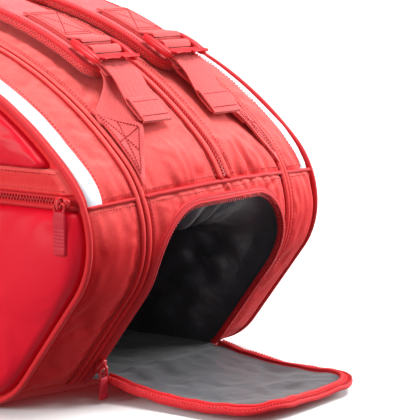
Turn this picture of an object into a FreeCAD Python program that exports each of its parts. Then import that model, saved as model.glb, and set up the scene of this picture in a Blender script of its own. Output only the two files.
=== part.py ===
"""Racket tournament bag: an oval soft bag that lies on its flat base, 584 mm long between its side seams.

Frame: X runs along the bag and +X is the end with the shoe pocket. Y runs across it, and -Y is the front with the
accessory pocket. Z is up, and the origin is the middle of the base, on the ground. Every length is in millimetres.

The side outline is a chain of tangent arcs. Angles on it run clockwise from straight up, so 0 is the top of the bag
and 90 the end. The walls follow that outline, pushed out by a crown that is largest in the middle of the bag.
"""
import FreeCAD, Part
import math
import os

from FreeCAD import Vector

# Side outline at the two side seams
HALF_LENGTH = 292.0     # middle of the bag to its end
TOP_Z = 323.0           # height of the side seam at the middle
TOP_R = 370.0           # long arc over the top
WIDEST_Z = 146.0        # height of the furthest point of the end
NOSE_R = 80.0           # arc under the furthest point
FLANK_ANGLE = 127.0     # where the straight flank starts
CORNER_R = 70.0         # arc into the flat base

# Across the bag
SEAM_Y = 105.0          # side seams, with the racket compartment zips
BAND_Y = 160.0          # outer edge of the racket compartments' bands
CROWN = [(0.0, 11.3), (55.0, 8.0), (SEAM_Y, 0.0), (BAND_Y, -9.0)]   # distance from the middle, push outward
WALL = 3.0              # fabric with its foam
GAP = 0.3               # between neighbours that are not sewn face to face

# Heights of the horizontal seams
CUT_Z = 16.0            # base panel to end panels, and the hinge line of the shoe flap
SEAM_Z = 180.0          # end panels to top panels
SEAM_HALF = 2.0         # half the room for the cord in that seam

# Shoe pocket
OPENING_HALF = 90.0
OPENING_TOP = 168.0
OPENING_R = 48.0
TUNNEL_HALF = 92.0
TUNNEL_Z = (17.0, 174.0)
TUNNEL_BACK_X = -60.0
LINING = 1.5
FLAP_LENGTH = 169.5     # straight from its hinge to its tip
FLAP_R = 450.0          # its slight curl
FLAP_TIP_Z = 5.5        # height of the tip's outer face while it lies on the ground
ZIP_TAPE = 8.0          # visible width of a zip's tape
ZIP_RAISE = 1.5

# Racket compartment covers
PANEL_Y = 163.0         # outer face of the backing panel
PIPING_R = 3.0
POCKET_STEP = 5.0       # the pocket's zip stands this far off the backing panel
PAD_DEPTH = 13.5
PAD_INSET = -16.5
PAD_FILLET = 9.0
LOWER_PAD_TOP = 176.0
PLACKET_Z = (188.0, 205.0)
UPPER_PAD_BOTTOM = 206.0
STRIPE_Y = (144.0, 158.0)

# Shoulder straps
STRAP_Y = 50.0
STRAP_HALF = 30.0
STRAP_LIFT = 10.8       # underside above the side seam's arc
STRAP_THICK = 12.0
STRAP_ANGLES = (-36.0, 33.5)
WEBBING_HALF = 19.0
WEBBING_T = 1.8

ARC_CENTRE_Z = TOP_Z - TOP_R
SHOULDER_RISE = WIDEST_Z - ARC_CENTRE_Z
SHOULDER_R = (TOP_R**2 - HALF_LENGTH**2 - SHOULDER_RISE**2) / (2 * (TOP_R - HALF_LENGTH))
SHOULDER_X = HALF_LENGTH - SHOULDER_R
SHOULDER_ANGLE = math.degrees(math.atan2(SHOULDER_X, SHOULDER_RISE))
BIG = 1000.0


# ---------------------------------------------------------------- outline and walls

def crown(y):
    """How far the wall stands out of the side outline at that distance across the bag."""
    y = abs(y)
    for (y0, c0), (y1, c1) in zip(CROWN, CROWN[1:]):
        if y <= y1:
            return c0 + (c1 - c0) * (y - y0) / (y1 - y0)
    return CROWN[-1][1]


def polar(x, z, radius, angle):
    """Point at that angle, clockwise from straight up, as (x, z)."""
    a = math.radians(angle)
    return x + radius * math.sin(a), z + radius * math.cos(a)


def arc(y, x, z, radius, start, end):
    points = [Vector(px, y, pz) for px, pz in (polar(x, z, radius, a) for a in (start, (start + end) / 2, end))]
    return Part.Arc(*points).toShape()


def line(y, start, end):
    return Part.LineSegment(Vector(start[0], y, start[1]), Vector(end[0], y, end[1])).toShape()


def corner(grow, floor):
    """Centre (x, z) and radius of the arc between the straight flank and the flat bottom."""
    top = polar(HALF_LENGTH - NOSE_R, WIDEST_Z, NOSE_R + grow, FLANK_ANGLE)
    nx, nz = polar(0, 0, 1, FLANK_ANGLE)
    radius = CORNER_R - floor
    return top[0] - (radius + nz * (floor + radius - top[1])) / nx, floor + radius, radius


def outline(y, grow=0.0, floor=0.0):
    """Closed side outline in the plane Y = y, pushed out by grow, with its flat bottom at Z = floor."""
    nose_x = HALF_LENGTH - NOSE_R
    flank_top = polar(nose_x, WIDEST_Z, NOSE_R + grow, FLANK_ANGLE)
    corner_x, corner_z, corner_r = corner(grow, floor)
    flank_end = polar(corner_x, corner_z, corner_r, FLANK_ANGLE)
    right = [
        arc(y, SHOULDER_X, WIDEST_Z, SHOULDER_R + grow, SHOULDER_ANGLE, 90),
        arc(y, nose_x, WIDEST_Z, NOSE_R + grow, 90, FLANK_ANGLE),
        line(y, flank_top, flank_end),
        arc(y, corner_x, corner_z, corner_r, FLANK_ANGLE, 180),
    ]
    left = [
        arc(y, -corner_x, corner_z, corner_r, 180, 360 - FLANK_ANGLE),
        line(y, (-flank_end[0], flank_end[1]), (-flank_top[0], flank_top[1])),
        arc(y, -nose_x, WIDEST_Z, NOSE_R + grow, 360 - FLANK_ANGLE, 270),
        arc(y, -SHOULDER_X, WIDEST_Z, SHOULDER_R + grow, 270, 360 - SHOULDER_ANGLE),
    ]
    top = arc(y, 0, ARC_CENTRE_Z, TOP_R + grow, -SHOULDER_ANGLE, SHOULDER_ANGLE)
    bottom = line(y, (corner_x, floor), (-corner_x, floor))
    return Part.Wire([top, *right, bottom, *left])


def core(stations, off):
    """Solid inside the wall surface pushed out by off, lofted across the bag through the stations."""
    wires = [outline(y, crown(y) + off, -off) for y in stations]
    return Part.makeLoft(wires, True, True)


def wall(stations, outer=0.0, inner=-WALL):
    """Wall between two offsets of the bag's surface, across the given stations."""
    return core(stations, outer).cut(core(stations, inner))


def stations(y0, y1):
    """The two ends and every crown point between them, for either side of the bag."""
    inner = sorted({s * y for y, _ in CROWN for s in (-1, 1)})
    return [y0, *[y for y in inner if y0 + 1 < y < y1 - 1], y1]


def slab(z0, z1, x0=-BIG, x1=BIG, y0=-BIG, y1=BIG):
    return Part.makeBox(x1 - x0, y1 - y0, z1 - z0, Vector(x0, y0, z0))


def mirrored(shape):
    """The same piece on the other side of the bag."""
    return shape.mirror(Vector(0, 0, 0), Vector(0, 1, 0))


def plate(y0, y1, grow, floor):
    """Flat plate with the side outline."""
    return Part.Face(outline(y0, grow, floor)).extrude(Vector(0, y1 - y0, 0))


def arc_slab(angles, offs, ys):
    """Piece of the long top arc: between two angles, two offsets from the side seam's arc, and two Y."""
    (a0, a1), (o0, o1), (y0, y1) = angles, offs, ys
    corners = {(a, o): polar(0, ARC_CENTRE_Z, TOP_R + o, a) for a in (a0, a1) for o in (o0, o1)}
    edges = [
        arc(y0, 0, ARC_CENTRE_Z, TOP_R + o1, a0, a1),
        line(y0, corners[a1, o1], corners[a1, o0]),
        arc(y0, 0, ARC_CENTRE_Z, TOP_R + o0, a1, a0),
        line(y0, corners[a0, o0], corners[a0, o1]),
    ]
    return Part.Face(Part.Wire(edges)).extrude(Vector(0, y1 - y0, 0))


def local(origin, u, w):
    """Placement whose local X is u and local Z is w."""
    return FreeCAD.Placement(origin, FreeCAD.Rotation(u, w.cross(u), w, "XZY"))


def on_top(angle, off, y):
    """Placement on the long top arc: local X runs down towards +X, local Z points away from the bag."""
    x, z = polar(0, ARC_CENTRE_Z, TOP_R + off, angle)
    ux, uz = polar(0, 0, 1, angle + 90)
    wx, wz = polar(0, 0, 1, angle)
    return local(Vector(x, y, z), Vector(ux, 0, uz), Vector(wx, 0, wz))


def placed(shape, placement):
    copy = shape.copy()
    copy.Placement = placement.multiply(copy.Placement)
    return copy


def box(x, y, z):
    """Box between pairs of coordinates."""
    return Part.makeBox(x[1] - x[0], y[1] - y[0], z[1] - z[0], Vector(x[0], y[0], z[0]))


def ribbon(points, thickness, y0, y1):
    """Strip of webbing that follows points (x, z), extruded across the bag."""
    def offset(side):
        out = []
        for i, (px, pz) in enumerate(points):
            ax, az = points[max(i - 1, 0)]
            bx, bz = points[min(i + 1, len(points) - 1)]
            size = math.hypot(bx - ax, bz - az)
            out.append((px - side * (bz - az) / size, pz + side * (bx - ax) / size))
        return out
    loop = offset(thickness / 2) + offset(-thickness / 2)[::-1]
    loop = [Vector(x, y0, z) for x, z in loop]
    return Part.Face(Part.makePolygon([*loop, loop[0]])).extrude(Vector(0, y1 - y0, 0))


# ---------------------------------------------------------------- bag body

def opening_prism(shrink=0.0):
    """Arch-topped block through the shoe end, as wide as the zip opening less shrink on each side."""
    half, top, r = OPENING_HALF - shrink, OPENING_TOP - shrink, OPENING_R - shrink
    low = CUT_Z - 40
    mid = r * math.sqrt(0.5)
    p = [(-half, low), (-half, top - r), (-half + r - mid, top - r + mid), (-half + r, top),
         (half - r, top), (half - r + mid, top - r + mid), (half, top - r), (half, low)]
    v = [Vector(0, y, z) for y, z in p]
    edges = [
        Part.LineSegment(v[0], v[1]).toShape(), Part.Arc(v[1], v[2], v[3]).toShape(),
        Part.LineSegment(v[3], v[4]).toShape(), Part.Arc(v[4], v[5], v[6]).toShape(),
        Part.LineSegment(v[6], v[7]).toShape(), Part.LineSegment(v[7], v[0]).toShape(),
    ]
    return Part.Face(Part.Wire(edges)).extrude(Vector(BIG, 0, 0))


def seam_cord(side):
    """Cord sewn into the horizontal seam of one end, between the side zips."""
    ys = stations(-SEAM_Y + 7.6, SEAM_Y - 7.6)
    rise = SEAM_Z - WIDEST_Z
    points = []
    for y in ys:
        radius = SHOULDER_R + crown(y)
        points.append(Vector(side * (SHOULDER_X + math.sqrt(radius**2 - rise**2)), y, SEAM_Z))
    r = SEAM_HALF - 0.2
    cord = Part.makeSphere(r, points[0])
    for a, b in zip(points, points[1:]):
        cord = cord.fuse(Part.makeCylinder(r, (b - a).Length, a, b - a)).fuse(Part.makeSphere(r, b))
    return cord.removeSplitter()


def shoe_tunnel():
    """Walls of the shoe pocket: a tunnel that is closed inside the bag and open at the shoe end."""
    x, y, (z0, z1), t = TUNNEL_BACK_X, TUNNEL_HALF, TUNNEL_Z, LINING
    side = box((x, BIG), (-y, t - y), (z0 + t + 0.1, z1 - t - 0.1))
    plates = {
        "shoe_tunnel_floor_board": box((x, BIG), (-y, y), (z0, z0 + t)),
        "shoe_tunnel_roof": box((x, BIG), (-y, y), (z1 - t, z1)),
        "shoe_tunnel_side_walls": Part.makeCompound([side, mirrored(side)]),
        "shoe_tunnel_back_wall": box((x - t - 0.1, x - 0.1), (-y, y), (z0, z1)),
    }
    ys = stations(-SEAM_Y + 2, SEAM_Y - 2)
    inside = core(ys, -WALL - GAP)
    parts = {name: plate.common(inside) for name, plate in plates.items()}
    clear_of_flap = core(ys, -WALL - LINING - 2.0)      # the closed flap's lining comes in here
    parts["shoe_tunnel_floor_board"] = parts["shoe_tunnel_floor_board"].common(clear_of_flap)
    return parts


def base_panel():
    """Bottom of the bag, with its lower face cut flat at Z = 0."""
    ys = stations(-BAND_Y, BAND_Y)
    wires = [outline(y, crown(y), -0.5) for y in ys]
    shell = Part.makeLoft(wires, True, True).cut(core(ys, -WALL))
    return shell.common(slab(0, CUT_Z - 0.1))


def bag_body():
    centre = stations(-SEAM_Y + 0.5, SEAM_Y - 0.5)
    front_half = stations(-SEAM_Y + 0.5, -6.5)
    ends = wall(centre).common(slab(CUT_Z + 0.1, SEAM_Z - SEAM_HALF))
    top_front = wall(front_half).common(slab(SEAM_Z + SEAM_HALF, BIG))
    divider = plate(-SEAM_Y + 0.7, -SEAM_Y + 3.7, -WALL - 0.6, WALL + 0.6)
    tape = wall([-6.2, -0.3], -0.8, -2.2)
    coil = wall([-3.0, -0.3], 1.2, -0.8)
    zip_half = tape.fuse(coil).removeSplitter().common(slab(SEAM_Z + SEAM_HALF, BIG))
    track = wall(centre, ZIP_RAISE, 0.2).common(slab(CUT_Z + 0.1, SEAM_Z - SEAM_HALF, 0))
    return {
        "base_panel": base_panel(),
        "shoe_end_panel": ends.common(slab(-1, BIG, 0)).cut(opening_prism()),
        "plain_end_panel": ends.common(slab(-1, BIG, -BIG, 0)),
        "top_panel_front": top_front,
        "top_panel_rear": mirrored(top_front),
        "racket_dividers": Part.makeCompound([divider, mirrored(divider)]),
        **shoe_tunnel(),
        "shoe_opening_zip": track.common(opening_prism(-ZIP_TAPE)).cut(opening_prism(-0.5)),
        "main_zip": Part.makeCompound([zip_half, mirrored(zip_half)]),
        "end_seam_cords": Part.makeCompound([seam_cord(1), seam_cord(-1)]),
        "end_handle": end_handle(),
    }


def end_handle():
    """Webbing grab handle that stands off the middle of the plain end, sewn down at both ends."""
    lift, out, half_width = crown(40) + 0.3, 24.0, 14.0
    path = [(-54, 1.5), (-40, 1.5), (-28, out), (28, out), (40, 1.5), (54, 1.5)]
    strip = ribbon(path, 3.0, -half_width, half_width)
    return placed(strip, local(Vector(-HALF_LENGTH - lift, 0, WIDEST_Z), Vector(0, 1, 0), Vector(-1, 0, 0)))


# ---------------------------------------------------------------- shoe flap

def flap_hinge():
    """The flap's fold line: on the wall's outer face, at the height of the base seam."""
    x, z, radius = corner(crown(0), 0)
    return Vector(x + math.sqrt(radius**2 - (z - CUT_Z)**2), 0, CUT_Z)


def flap_angles():
    """Angle of the flap's chord from straight up: when closed, and when it lies on the ground."""
    hinge = flap_hinge()
    radius = SHOULDER_R + crown(0)
    rise = OPENING_TOP - WIDEST_Z
    tip_x = SHOULDER_X + math.sqrt(radius**2 - rise**2)
    closed = math.degrees(math.atan2(tip_x - hinge.x, OPENING_TOP - CUT_Z))
    opened = 90 + math.degrees(math.asin((CUT_Z - FLAP_TIP_Z) / FLAP_LENGTH))
    return closed, opened


def flap_sheet(angle, outer, inner):
    """Curled sheet from the hinge, between two offsets of the flap's outer face, with its chord at that angle."""
    hinge = flap_hinge()
    half = math.degrees(math.asin(FLAP_LENGTH / 2 / FLAP_R))
    x, z = polar(hinge.x, hinge.z, FLAP_LENGTH / 2, angle)
    x, z = polar(x, z, -FLAP_R * math.cos(math.radians(half)), angle + 90)
    first, last = angle + 90 - half, angle + 90 + half
    edges = [
        arc(-BIG / 2, x, z, FLAP_R + outer, first, last),
        line(-BIG / 2, polar(x, z, FLAP_R + outer, last), polar(x, z, FLAP_R + inner, last)),
        arc(-BIG / 2, x, z, FLAP_R + inner, last, first),
        line(-BIG / 2, polar(x, z, FLAP_R + inner, first), polar(x, z, FLAP_R + outer, first)),
    ]
    return Part.Face(Part.Wire(edges)).extrude(Vector(0, BIG, 0))


def shoe_flap():
    """The piece that closes the opening, folded down until it lies on the ground."""
    closed, opened = flap_angles()
    shape = opening_prism(0.4).common(slab(CUT_Z + 0.4, BIG))
    rim = opening_prism(0.6).cut(opening_prism(1.0 + ZIP_TAPE)).common(slab(CUT_Z + 4, BIG))
    pieces = {
        "shoe_flap": flap_sheet(closed, 0, -WALL).common(shape),
        "shoe_flap_lining": flap_sheet(closed, -WALL - 0.2, -WALL - 0.2 - LINING).common(shape),
        "shoe_flap_zip": flap_sheet(closed, ZIP_RAISE, 0.2).common(rim),
    }
    turn = FreeCAD.Placement(Vector(), FreeCAD.Rotation(Vector(0, 1, 0), opened - closed), flap_hinge())
    return {name: placed(piece, turn) for name, piece in pieces.items()}


# ---------------------------------------------------------------- racket compartment covers

def piping():
    """Cord around the edge of a compartment's backing panel."""
    y = -PANEL_Y - PIPING_R - 0.2
    path = outline(y, crown(BAND_Y) - PIPING_R - 0.2, PIPING_R + 0.4)
    start = path.Edges[0].valueAt(path.Edges[0].FirstParameter)
    direction = path.Edges[0].tangentAt(path.Edges[0].FirstParameter)
    section = Part.Wire(Part.makeCircle(PIPING_R, start, direction))
    return path.makePipeShell([section], True, False)


def pad(z0, z1):
    """Moulded foam pad on the backing panel, with a rounded outer edge."""
    block = plate(-PANEL_Y - 0.3 - PAD_DEPTH, -PANEL_Y - 0.3, PAD_INSET, 11.0).common(slab(z0, z1))
    outer = [e for e in block.Edges if max(abs(v.Y + PANEL_Y + 0.3 + PAD_DEPTH) for v in e.Vertexes) < 0.01]
    return block.makeFillet(PAD_FILLET, outer)


def pocket_strip():
    """Strip that carries the pocket's zip, with the matte placket above it."""
    y = -PANEL_Y - 0.3
    length = 263.2
    strip = box((-length, length), (y - POCKET_STEP, y), (LOWER_PAD_TOP + 0.8, PLACKET_Z[0] + 1))
    placket = plate(y - POCKET_STEP - 1, y, PAD_INSET, 11.0).common(slab(*PLACKET_Z))
    return strip.fuse(placket).removeSplitter()


def pocket_zip():
    """Straight zip of the accessory pocket: tape with the coil on it."""
    y = -PANEL_Y - 0.5 - POCKET_STEP
    tape = box((-262.5, 262.5), (y - 1.4, y), (LOWER_PAD_TOP + 1.0, PLACKET_Z[0] - 0.5))
    coil = box((-260, 260), (y - 3.2, y - 1.4), (180.0, 184.0))
    return tape.fuse(coil).removeSplitter()


def compartment():
    """Pieces of the front cover, which the rear cover mirrors."""
    band = wall(stations(-BAND_Y, -SEAM_Y - 0.6))
    stripe = wall([-STRIPE_Y[1], -STRIPE_Y[0]], 1.0, 0.2)
    lid_zip = wall([-SEAM_Y - 5.4, -SEAM_Y - 0.6], ZIP_RAISE, 0.2)
    above_seam = slab(SEAM_Z, BIG)
    return {
        "backing_panel": plate(-PANEL_Y, -BAND_Y - 0.2, crown(BAND_Y), 0.6),
        "band_upper": band.common(above_seam),
        "band_lower": band.common(slab(CUT_Z + 0.1, SEAM_Z - 0.2)),
        "reflective_stripe": stripe.common(above_seam),
        "piping": piping(),
        "side_zip_cover_half": lid_zip.common(slab(CUT_Z + 0.1, BIG)),
    }


def covers():
    parts = {}
    for name, shape in compartment().items():
        parts["front_" + name] = shape
        parts["rear_" + name] = mirrored(shape)
    body_zip = wall([-SEAM_Y + 0.6, -SEAM_Y + 5.4], ZIP_RAISE, 0.2).common(slab(CUT_Z + 0.1, BIG))
    parts["side_zip_body_halves"] = Part.makeCompound([body_zip, mirrored(body_zip)])
    parts["front_lower_pad"] = pad(-1, LOWER_PAD_TOP)
    parts["front_upper_pad"] = pad(UPPER_PAD_BOTTOM, BIG)
    parts["rear_pad"] = mirrored(pad(-1, BIG))
    parts["front_pocket_strip"] = pocket_strip()
    parts["front_pocket_zip"] = pocket_zip()
    return parts


# ---------------------------------------------------------------- zip sliders and pullers

SLIDER_HALF = (7.0, 4.5)    # along and across the zip
SLIDER_H = 4.5
PIVOT_H = 6.4               # the puller's crossbar above the zip
CROSSBAR_R = 1.1
PULLER_L = 42.0
PULLER_HALF = 6.0
PULLER_T = 2.4


def slider(across=False):
    """Slider body with a bridge over the puller's crossbar. Local X is the way it travels, Z away from the bag.
    The puller points along its travel, or across it."""
    (hu, hv), h = SLIDER_HALF, SLIDER_H
    body = box((-hu, hu), (-hv, hv), (0, h))
    body = body.makeFillet(1.4, [e for e in body.Edges if abs(e.Vertexes[0].Z - e.Vertexes[1].Z) > 1])
    bridge = box((-4.5, 4.5), (-1.5, 1.5), (h - 0.5, PIVOT_H + 2.9))
    bridge = bridge.cut(box((-2.6, 2.6), (-2, 2), (h + 0.3, PIVOT_H + 1.5)))
    if across:
        bridge.rotate(Vector(), Vector(0, 0, 1), 90)
    return body.fuse(bridge).removeSplitter()


def puller(length=PULLER_L, half=PULLER_HALF):
    """Rubber puller: crossbar in the bridge, two arms beside the slider, and a tab that points along local +X."""
    bar = Part.makeCylinder(CROSSBAR_R, 2 * half, Vector(0, -half, PIVOT_H), Vector(0, 1, 0))
    low, high = PIVOT_H - PULLER_T / 2, PIVOT_H + PULLER_T / 2
    tab = box((-CROSSBAR_R, length), (-half, half), (low, high))
    tab = tab.makeFillet(2.0, [e for e in tab.Edges if abs(e.Vertexes[0].Z - e.Vertexes[1].Z) > 1
                               and e.Vertexes[0].X > 1])
    window = box((-9, 9.5), (1.2 - half, half - 1.2), (low - 1, high + 1))
    return tab.cut(window).fuse(bar).removeSplitter()


def flank_frame(y, height, off):
    """Placement on the straight flank of the shoe end: local X runs up the flank, local Z away from the bag."""
    top = polar(HALF_LENGTH - NOSE_R, WIDEST_Z, NOSE_R + crown(y) + off, FLANK_ANGLE)
    ux, uz = polar(0, 0, 1, FLANK_ANGLE - 90)
    wx, wz = polar(0, 0, 1, FLANK_ANGLE)
    run = (top[1] - height) / uz
    return local(Vector(top[0] - run * ux, y, height), Vector(ux, 0, uz), Vector(wx, 0, wz))


POCKET_SLIDER_X = 263.0
MAIN_SLIDER_ANGLE = 5.0
SIDE_SLIDER_ANGLE = -40.0
SHOE_SLIDER_Z = 33.0
SHOE_PULLER_L = 26.0
SHOE_PULLER_HALF = 5.0


def sliders():
    parts = {}
    flip = FreeCAD.Placement(Vector(), FreeCAD.Rotation(Vector(0, 0, 1), 180))
    main_off = crown(0) + 1.5
    for name, angle, turn in (("a", MAIN_SLIDER_ANGLE, None), ("b", -MAIN_SLIDER_ANGLE, flip)):
        frame = on_top(angle, main_off, 0)
        frame = frame if turn is None else frame.multiply(turn)
        parts["main_slider_" + name] = placed(slider(), frame)
        parts["main_puller_" + name] = placed(puller(), frame)
    side = on_top(SIDE_SLIDER_ANGLE, 3.0, -SEAM_Y)
    parts["front_side_slider"] = placed(slider(), side)
    parts["front_side_puller"] = placed(puller(), side)
    parts["rear_side_slider"] = mirrored(parts["front_side_slider"])
    parts["rear_side_puller"] = mirrored(parts["front_side_puller"])
    pocket = Vector(POCKET_SLIDER_X, -PANEL_Y - POCKET_STEP - 4.0, 182.0)
    parts["front_pocket_slider"] = placed(slider(True), local(pocket, Vector(1, 0, 0), Vector(0, -1, 0)))
    parts["front_pocket_puller"] = placed(puller(), local(pocket, Vector(0, 0, -1), Vector(0, -1, 0)))
    shoe = flank_frame(-OPENING_HALF - 5.0, SHOE_SLIDER_Z, ZIP_RAISE + 1.4)
    parts["shoe_slider"] = placed(slider(), shoe)
    plumb = FreeCAD.Rotation(Vector(0, 1, 0), FLANK_ANGLE - 270)
    tip = FreeCAD.Placement(Vector(), plumb, Vector(0, 0, PIVOT_H))
    parts["shoe_puller"] = placed(placed(puller(SHOE_PULLER_L, SHOE_PULLER_HALF), tip), shoe)
    return parts


# ---------------------------------------------------------------- shoulder straps

BUCKLE_ANGLE = 31.0
BUCKLE_OFF = STRAP_LIFT + STRAP_THICK + 3.0
BUCKLE_HALF = (17.0, 28.0)
BUCKLE_T = 5.0
REAR_BAR = (-14.0, 2.5, 2.4)    # along, up, radius


def buckle():
    """Ladder-lock buckle: three bars across a frame. Local X runs along the webbing, Z away from the bag."""
    hu, hv = BUCKLE_HALF
    frame = box((-hu + 3, hu), (-hv, hv), (0, BUCKLE_T))
    upright = [e for e in frame.Edges if abs(e.Vertexes[0].Z - e.Vertexes[1].Z) > 1]
    frame = frame.makeFillet(4.0, upright)
    for u0, u1 in ((-hu, -3.5), (1.5, 9.5)):
        frame = frame.cut(box((u0, u1), (-20.5, 20.5), (-1, BUCKLE_T + 1)))
    along, up, radius = REAR_BAR
    bar = Part.makeCylinder(radius, 2 * hv, Vector(along, -hv, up), Vector(0, 1, 0))
    lip = box((hu - 5, hu), (-20, 20), (BUCKLE_T - 0.5, BUCKLE_T + 2.5))
    return frame.fuse(bar).fuse(lip).removeSplitter()


def strap_patch():
    """Webbing box-stitched to the padded strap and folded round the buckle's rear bar."""
    top = STRAP_LIFT + STRAP_THICK + 0.2
    patch = arc_slab((20.5, 29.3), (top, top + WEBBING_T), (-STRAP_Y - WEBBING_HALF, -STRAP_Y + WEBBING_HALF))
    along, up, _ = REAR_BAR
    ys = (-WEBBING_HALF, WEBBING_HALF)
    outer = box((along - 4.9, along + 4.9), ys, (up - 4.9, up + 4.9))
    inner = box((along - 3.1, along + 3.1), (-BIG, BIG), (up - 3.1, up + 3.1))
    return patch.fuse(placed(outer.cut(inner), buckle_frame())).removeSplitter()


def buckle_frame():
    return on_top(BUCKLE_ANGLE, BUCKLE_OFF, -STRAP_Y)


def webbing_tail():
    """Free end of the webbing: over the buckle's middle bar, out under its front bar, down to a sewn hem."""
    over, under = BUCKLE_T + 1.6, -1.6
    path = [(-3.0, over), (4.6, over), (5.8, over - 1.2), (5.8, under + 1.0), (7.0, under), (17.6, under)]
    frame = buckle_frame()
    points = [frame.multVec(Vector(u, 0, w)) for u, w in path]
    points = [(p.x, p.z) for p in points]
    for angle, off in ((35.3, 24.0), (37.2, 17.6), (38.8, 15.6), (42.4, 15.6)):
        points.append(polar(0, ARC_CENTRE_Z, TOP_R + off, angle))
    ys = (-STRAP_Y - WEBBING_HALF, -STRAP_Y + WEBBING_HALF)
    strip = ribbon(points, WEBBING_T, *ys)
    hem = arc_slab((39.4, 42.4), (15.6, 19.2), ys)
    return strip.fuse(hem).removeSplitter()


def section(angle, off, y0, y1, tilt=0.0):
    """Rectangular end of a webbing stretch, from y0 to y1 on the top arc; tilt swings its outer end down."""
    x0, z0 = polar(0, ARC_CENTRE_Z, TOP_R + off, angle - tilt)
    x1, z1 = polar(0, ARC_CENTRE_Z, TOP_R + off, angle + tilt)
    nx, nz = polar(0, 0, WEBBING_T, angle)
    a, b = Vector(x0, y0, z0), Vector(x1, y1, z1)
    thick = Vector(nx, 0, nz)
    return Part.makePolygon([a, b, b + thick, a + thick, a])


def anchor_webbing():
    """Webbing from the sewn wing at the side seam up to the underside of the buckle."""
    sections = [
        section(34.6, 20.6, -STRAP_Y - WEBBING_HALF, -STRAP_Y + WEBBING_HALF),
        section(37.0, 12.0, -76.0, -40.0, 0.6),
        section(40.0, 9.8, -98.0, -69.0, 2.0),
    ]
    return Part.makeLoft(sections, True, True)


def anchor_wing():
    """Triangular wing of folded webbing, sewn into the side seam."""
    direction = Vector(math.sin(math.radians(45)), 0, math.cos(math.radians(45)))
    corners = [Vector(229, -99, 246), Vector(257, -70, 234), Vector(280, -99, 188)]
    lifted = [c - direction * 30 for c in corners]
    prism = Part.Face(Part.makePolygon([*lifted, lifted[0]])).extrude(direction * 70)
    return wall(stations(-SEAM_Y + 5.6, -60.0), 2.2, 0.3).common(prism)


def strap_pad():
    ys = (-STRAP_Y - STRAP_HALF, -STRAP_Y + STRAP_HALF)
    body = arc_slab(STRAP_ANGLES, (STRAP_LIFT, STRAP_LIFT + STRAP_THICK), ys)
    corners = [e for e in body.Edges if abs(e.Length - STRAP_THICK) < 0.01]
    return body.makeFillet(14.0, corners)


def straps():
    root = wall(stations(-STRAP_Y - 26, -STRAP_Y + 26), 2.2, 0.3)
    root = root.common(arc_slab((-43.0, -36.4), (-20, 40), (-BIG, BIG)))
    near = {
        "strap_pad": strap_pad(),
        "strap_patch": strap_patch(),
        "buckle": placed(buckle(), buckle_frame()),
        "webbing_tail": webbing_tail(),
        "anchor_webbing": anchor_webbing(),
    }
    wing = anchor_wing()
    parts = {
        "strap_root_patches": Part.makeCompound([root, mirrored(root)]),
        "anchor_wings": Part.makeCompound([wing, mirrored(wing)]),
    }
    for name, shape in near.items():
        parts["near_" + name] = shape
        parts["far_" + name] = mirrored(shape)
    return parts


# ---------------------------------------------------------------- output

def main():
    os.makedirs("parts", exist_ok=True)
    parts = {**bag_body(), **shoe_flap(), **covers(), **sliders(), **straps()}
    for name, shape in sorted(parts.items()):
        low = shape.BoundBox.ZMin
        print(f"{name}: {len(shape.Solids)} solids, {shape.Volume / 1000:.1f} cm3, lowest {low:.2f}, valid {shape.isValid()}")
        shape.exportStep(f"parts/{name}.step")
    print(len(parts), "nodes; flap hinge at", flap_hinge())


main()
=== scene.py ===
"""Looks of the racket tournament bag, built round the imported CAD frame: metres, +X to the shoe end, -Y the front.

Fabric panels are grids on the bag's own surface. A point on it is given by s, the distance along the side outline
from the top (negative towards the plain end), by y across the bag, and by h, how far it stands off the wall.
Helper functions work in millimetres and the meshes are made in metres.
"""

import math

import bmesh
import bpy
import numpy as np
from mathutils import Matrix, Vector, noise


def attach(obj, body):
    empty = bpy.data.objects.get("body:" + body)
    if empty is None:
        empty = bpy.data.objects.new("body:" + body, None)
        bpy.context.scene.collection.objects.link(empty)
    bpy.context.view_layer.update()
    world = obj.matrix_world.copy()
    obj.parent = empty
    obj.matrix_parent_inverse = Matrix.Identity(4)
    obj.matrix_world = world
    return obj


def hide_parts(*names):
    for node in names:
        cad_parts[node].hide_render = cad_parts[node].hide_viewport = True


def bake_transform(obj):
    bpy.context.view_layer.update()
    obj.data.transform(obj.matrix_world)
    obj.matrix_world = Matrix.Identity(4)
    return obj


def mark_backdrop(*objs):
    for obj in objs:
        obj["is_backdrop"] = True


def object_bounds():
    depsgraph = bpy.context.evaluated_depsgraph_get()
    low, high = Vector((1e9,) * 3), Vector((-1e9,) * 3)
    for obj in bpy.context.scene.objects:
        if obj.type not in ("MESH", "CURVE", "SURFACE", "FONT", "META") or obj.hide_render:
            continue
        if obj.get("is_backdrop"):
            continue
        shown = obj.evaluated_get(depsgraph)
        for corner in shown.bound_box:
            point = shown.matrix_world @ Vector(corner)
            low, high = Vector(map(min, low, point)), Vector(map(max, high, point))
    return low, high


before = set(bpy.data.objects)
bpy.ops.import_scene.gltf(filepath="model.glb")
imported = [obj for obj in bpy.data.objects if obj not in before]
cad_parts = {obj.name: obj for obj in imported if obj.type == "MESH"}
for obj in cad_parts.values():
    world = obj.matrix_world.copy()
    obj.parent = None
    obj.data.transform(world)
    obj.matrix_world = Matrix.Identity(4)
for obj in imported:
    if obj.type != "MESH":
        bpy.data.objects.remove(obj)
CAD_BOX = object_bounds()

# ------------------------------------------------------------ the bag's outline, as in the CAD

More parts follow.
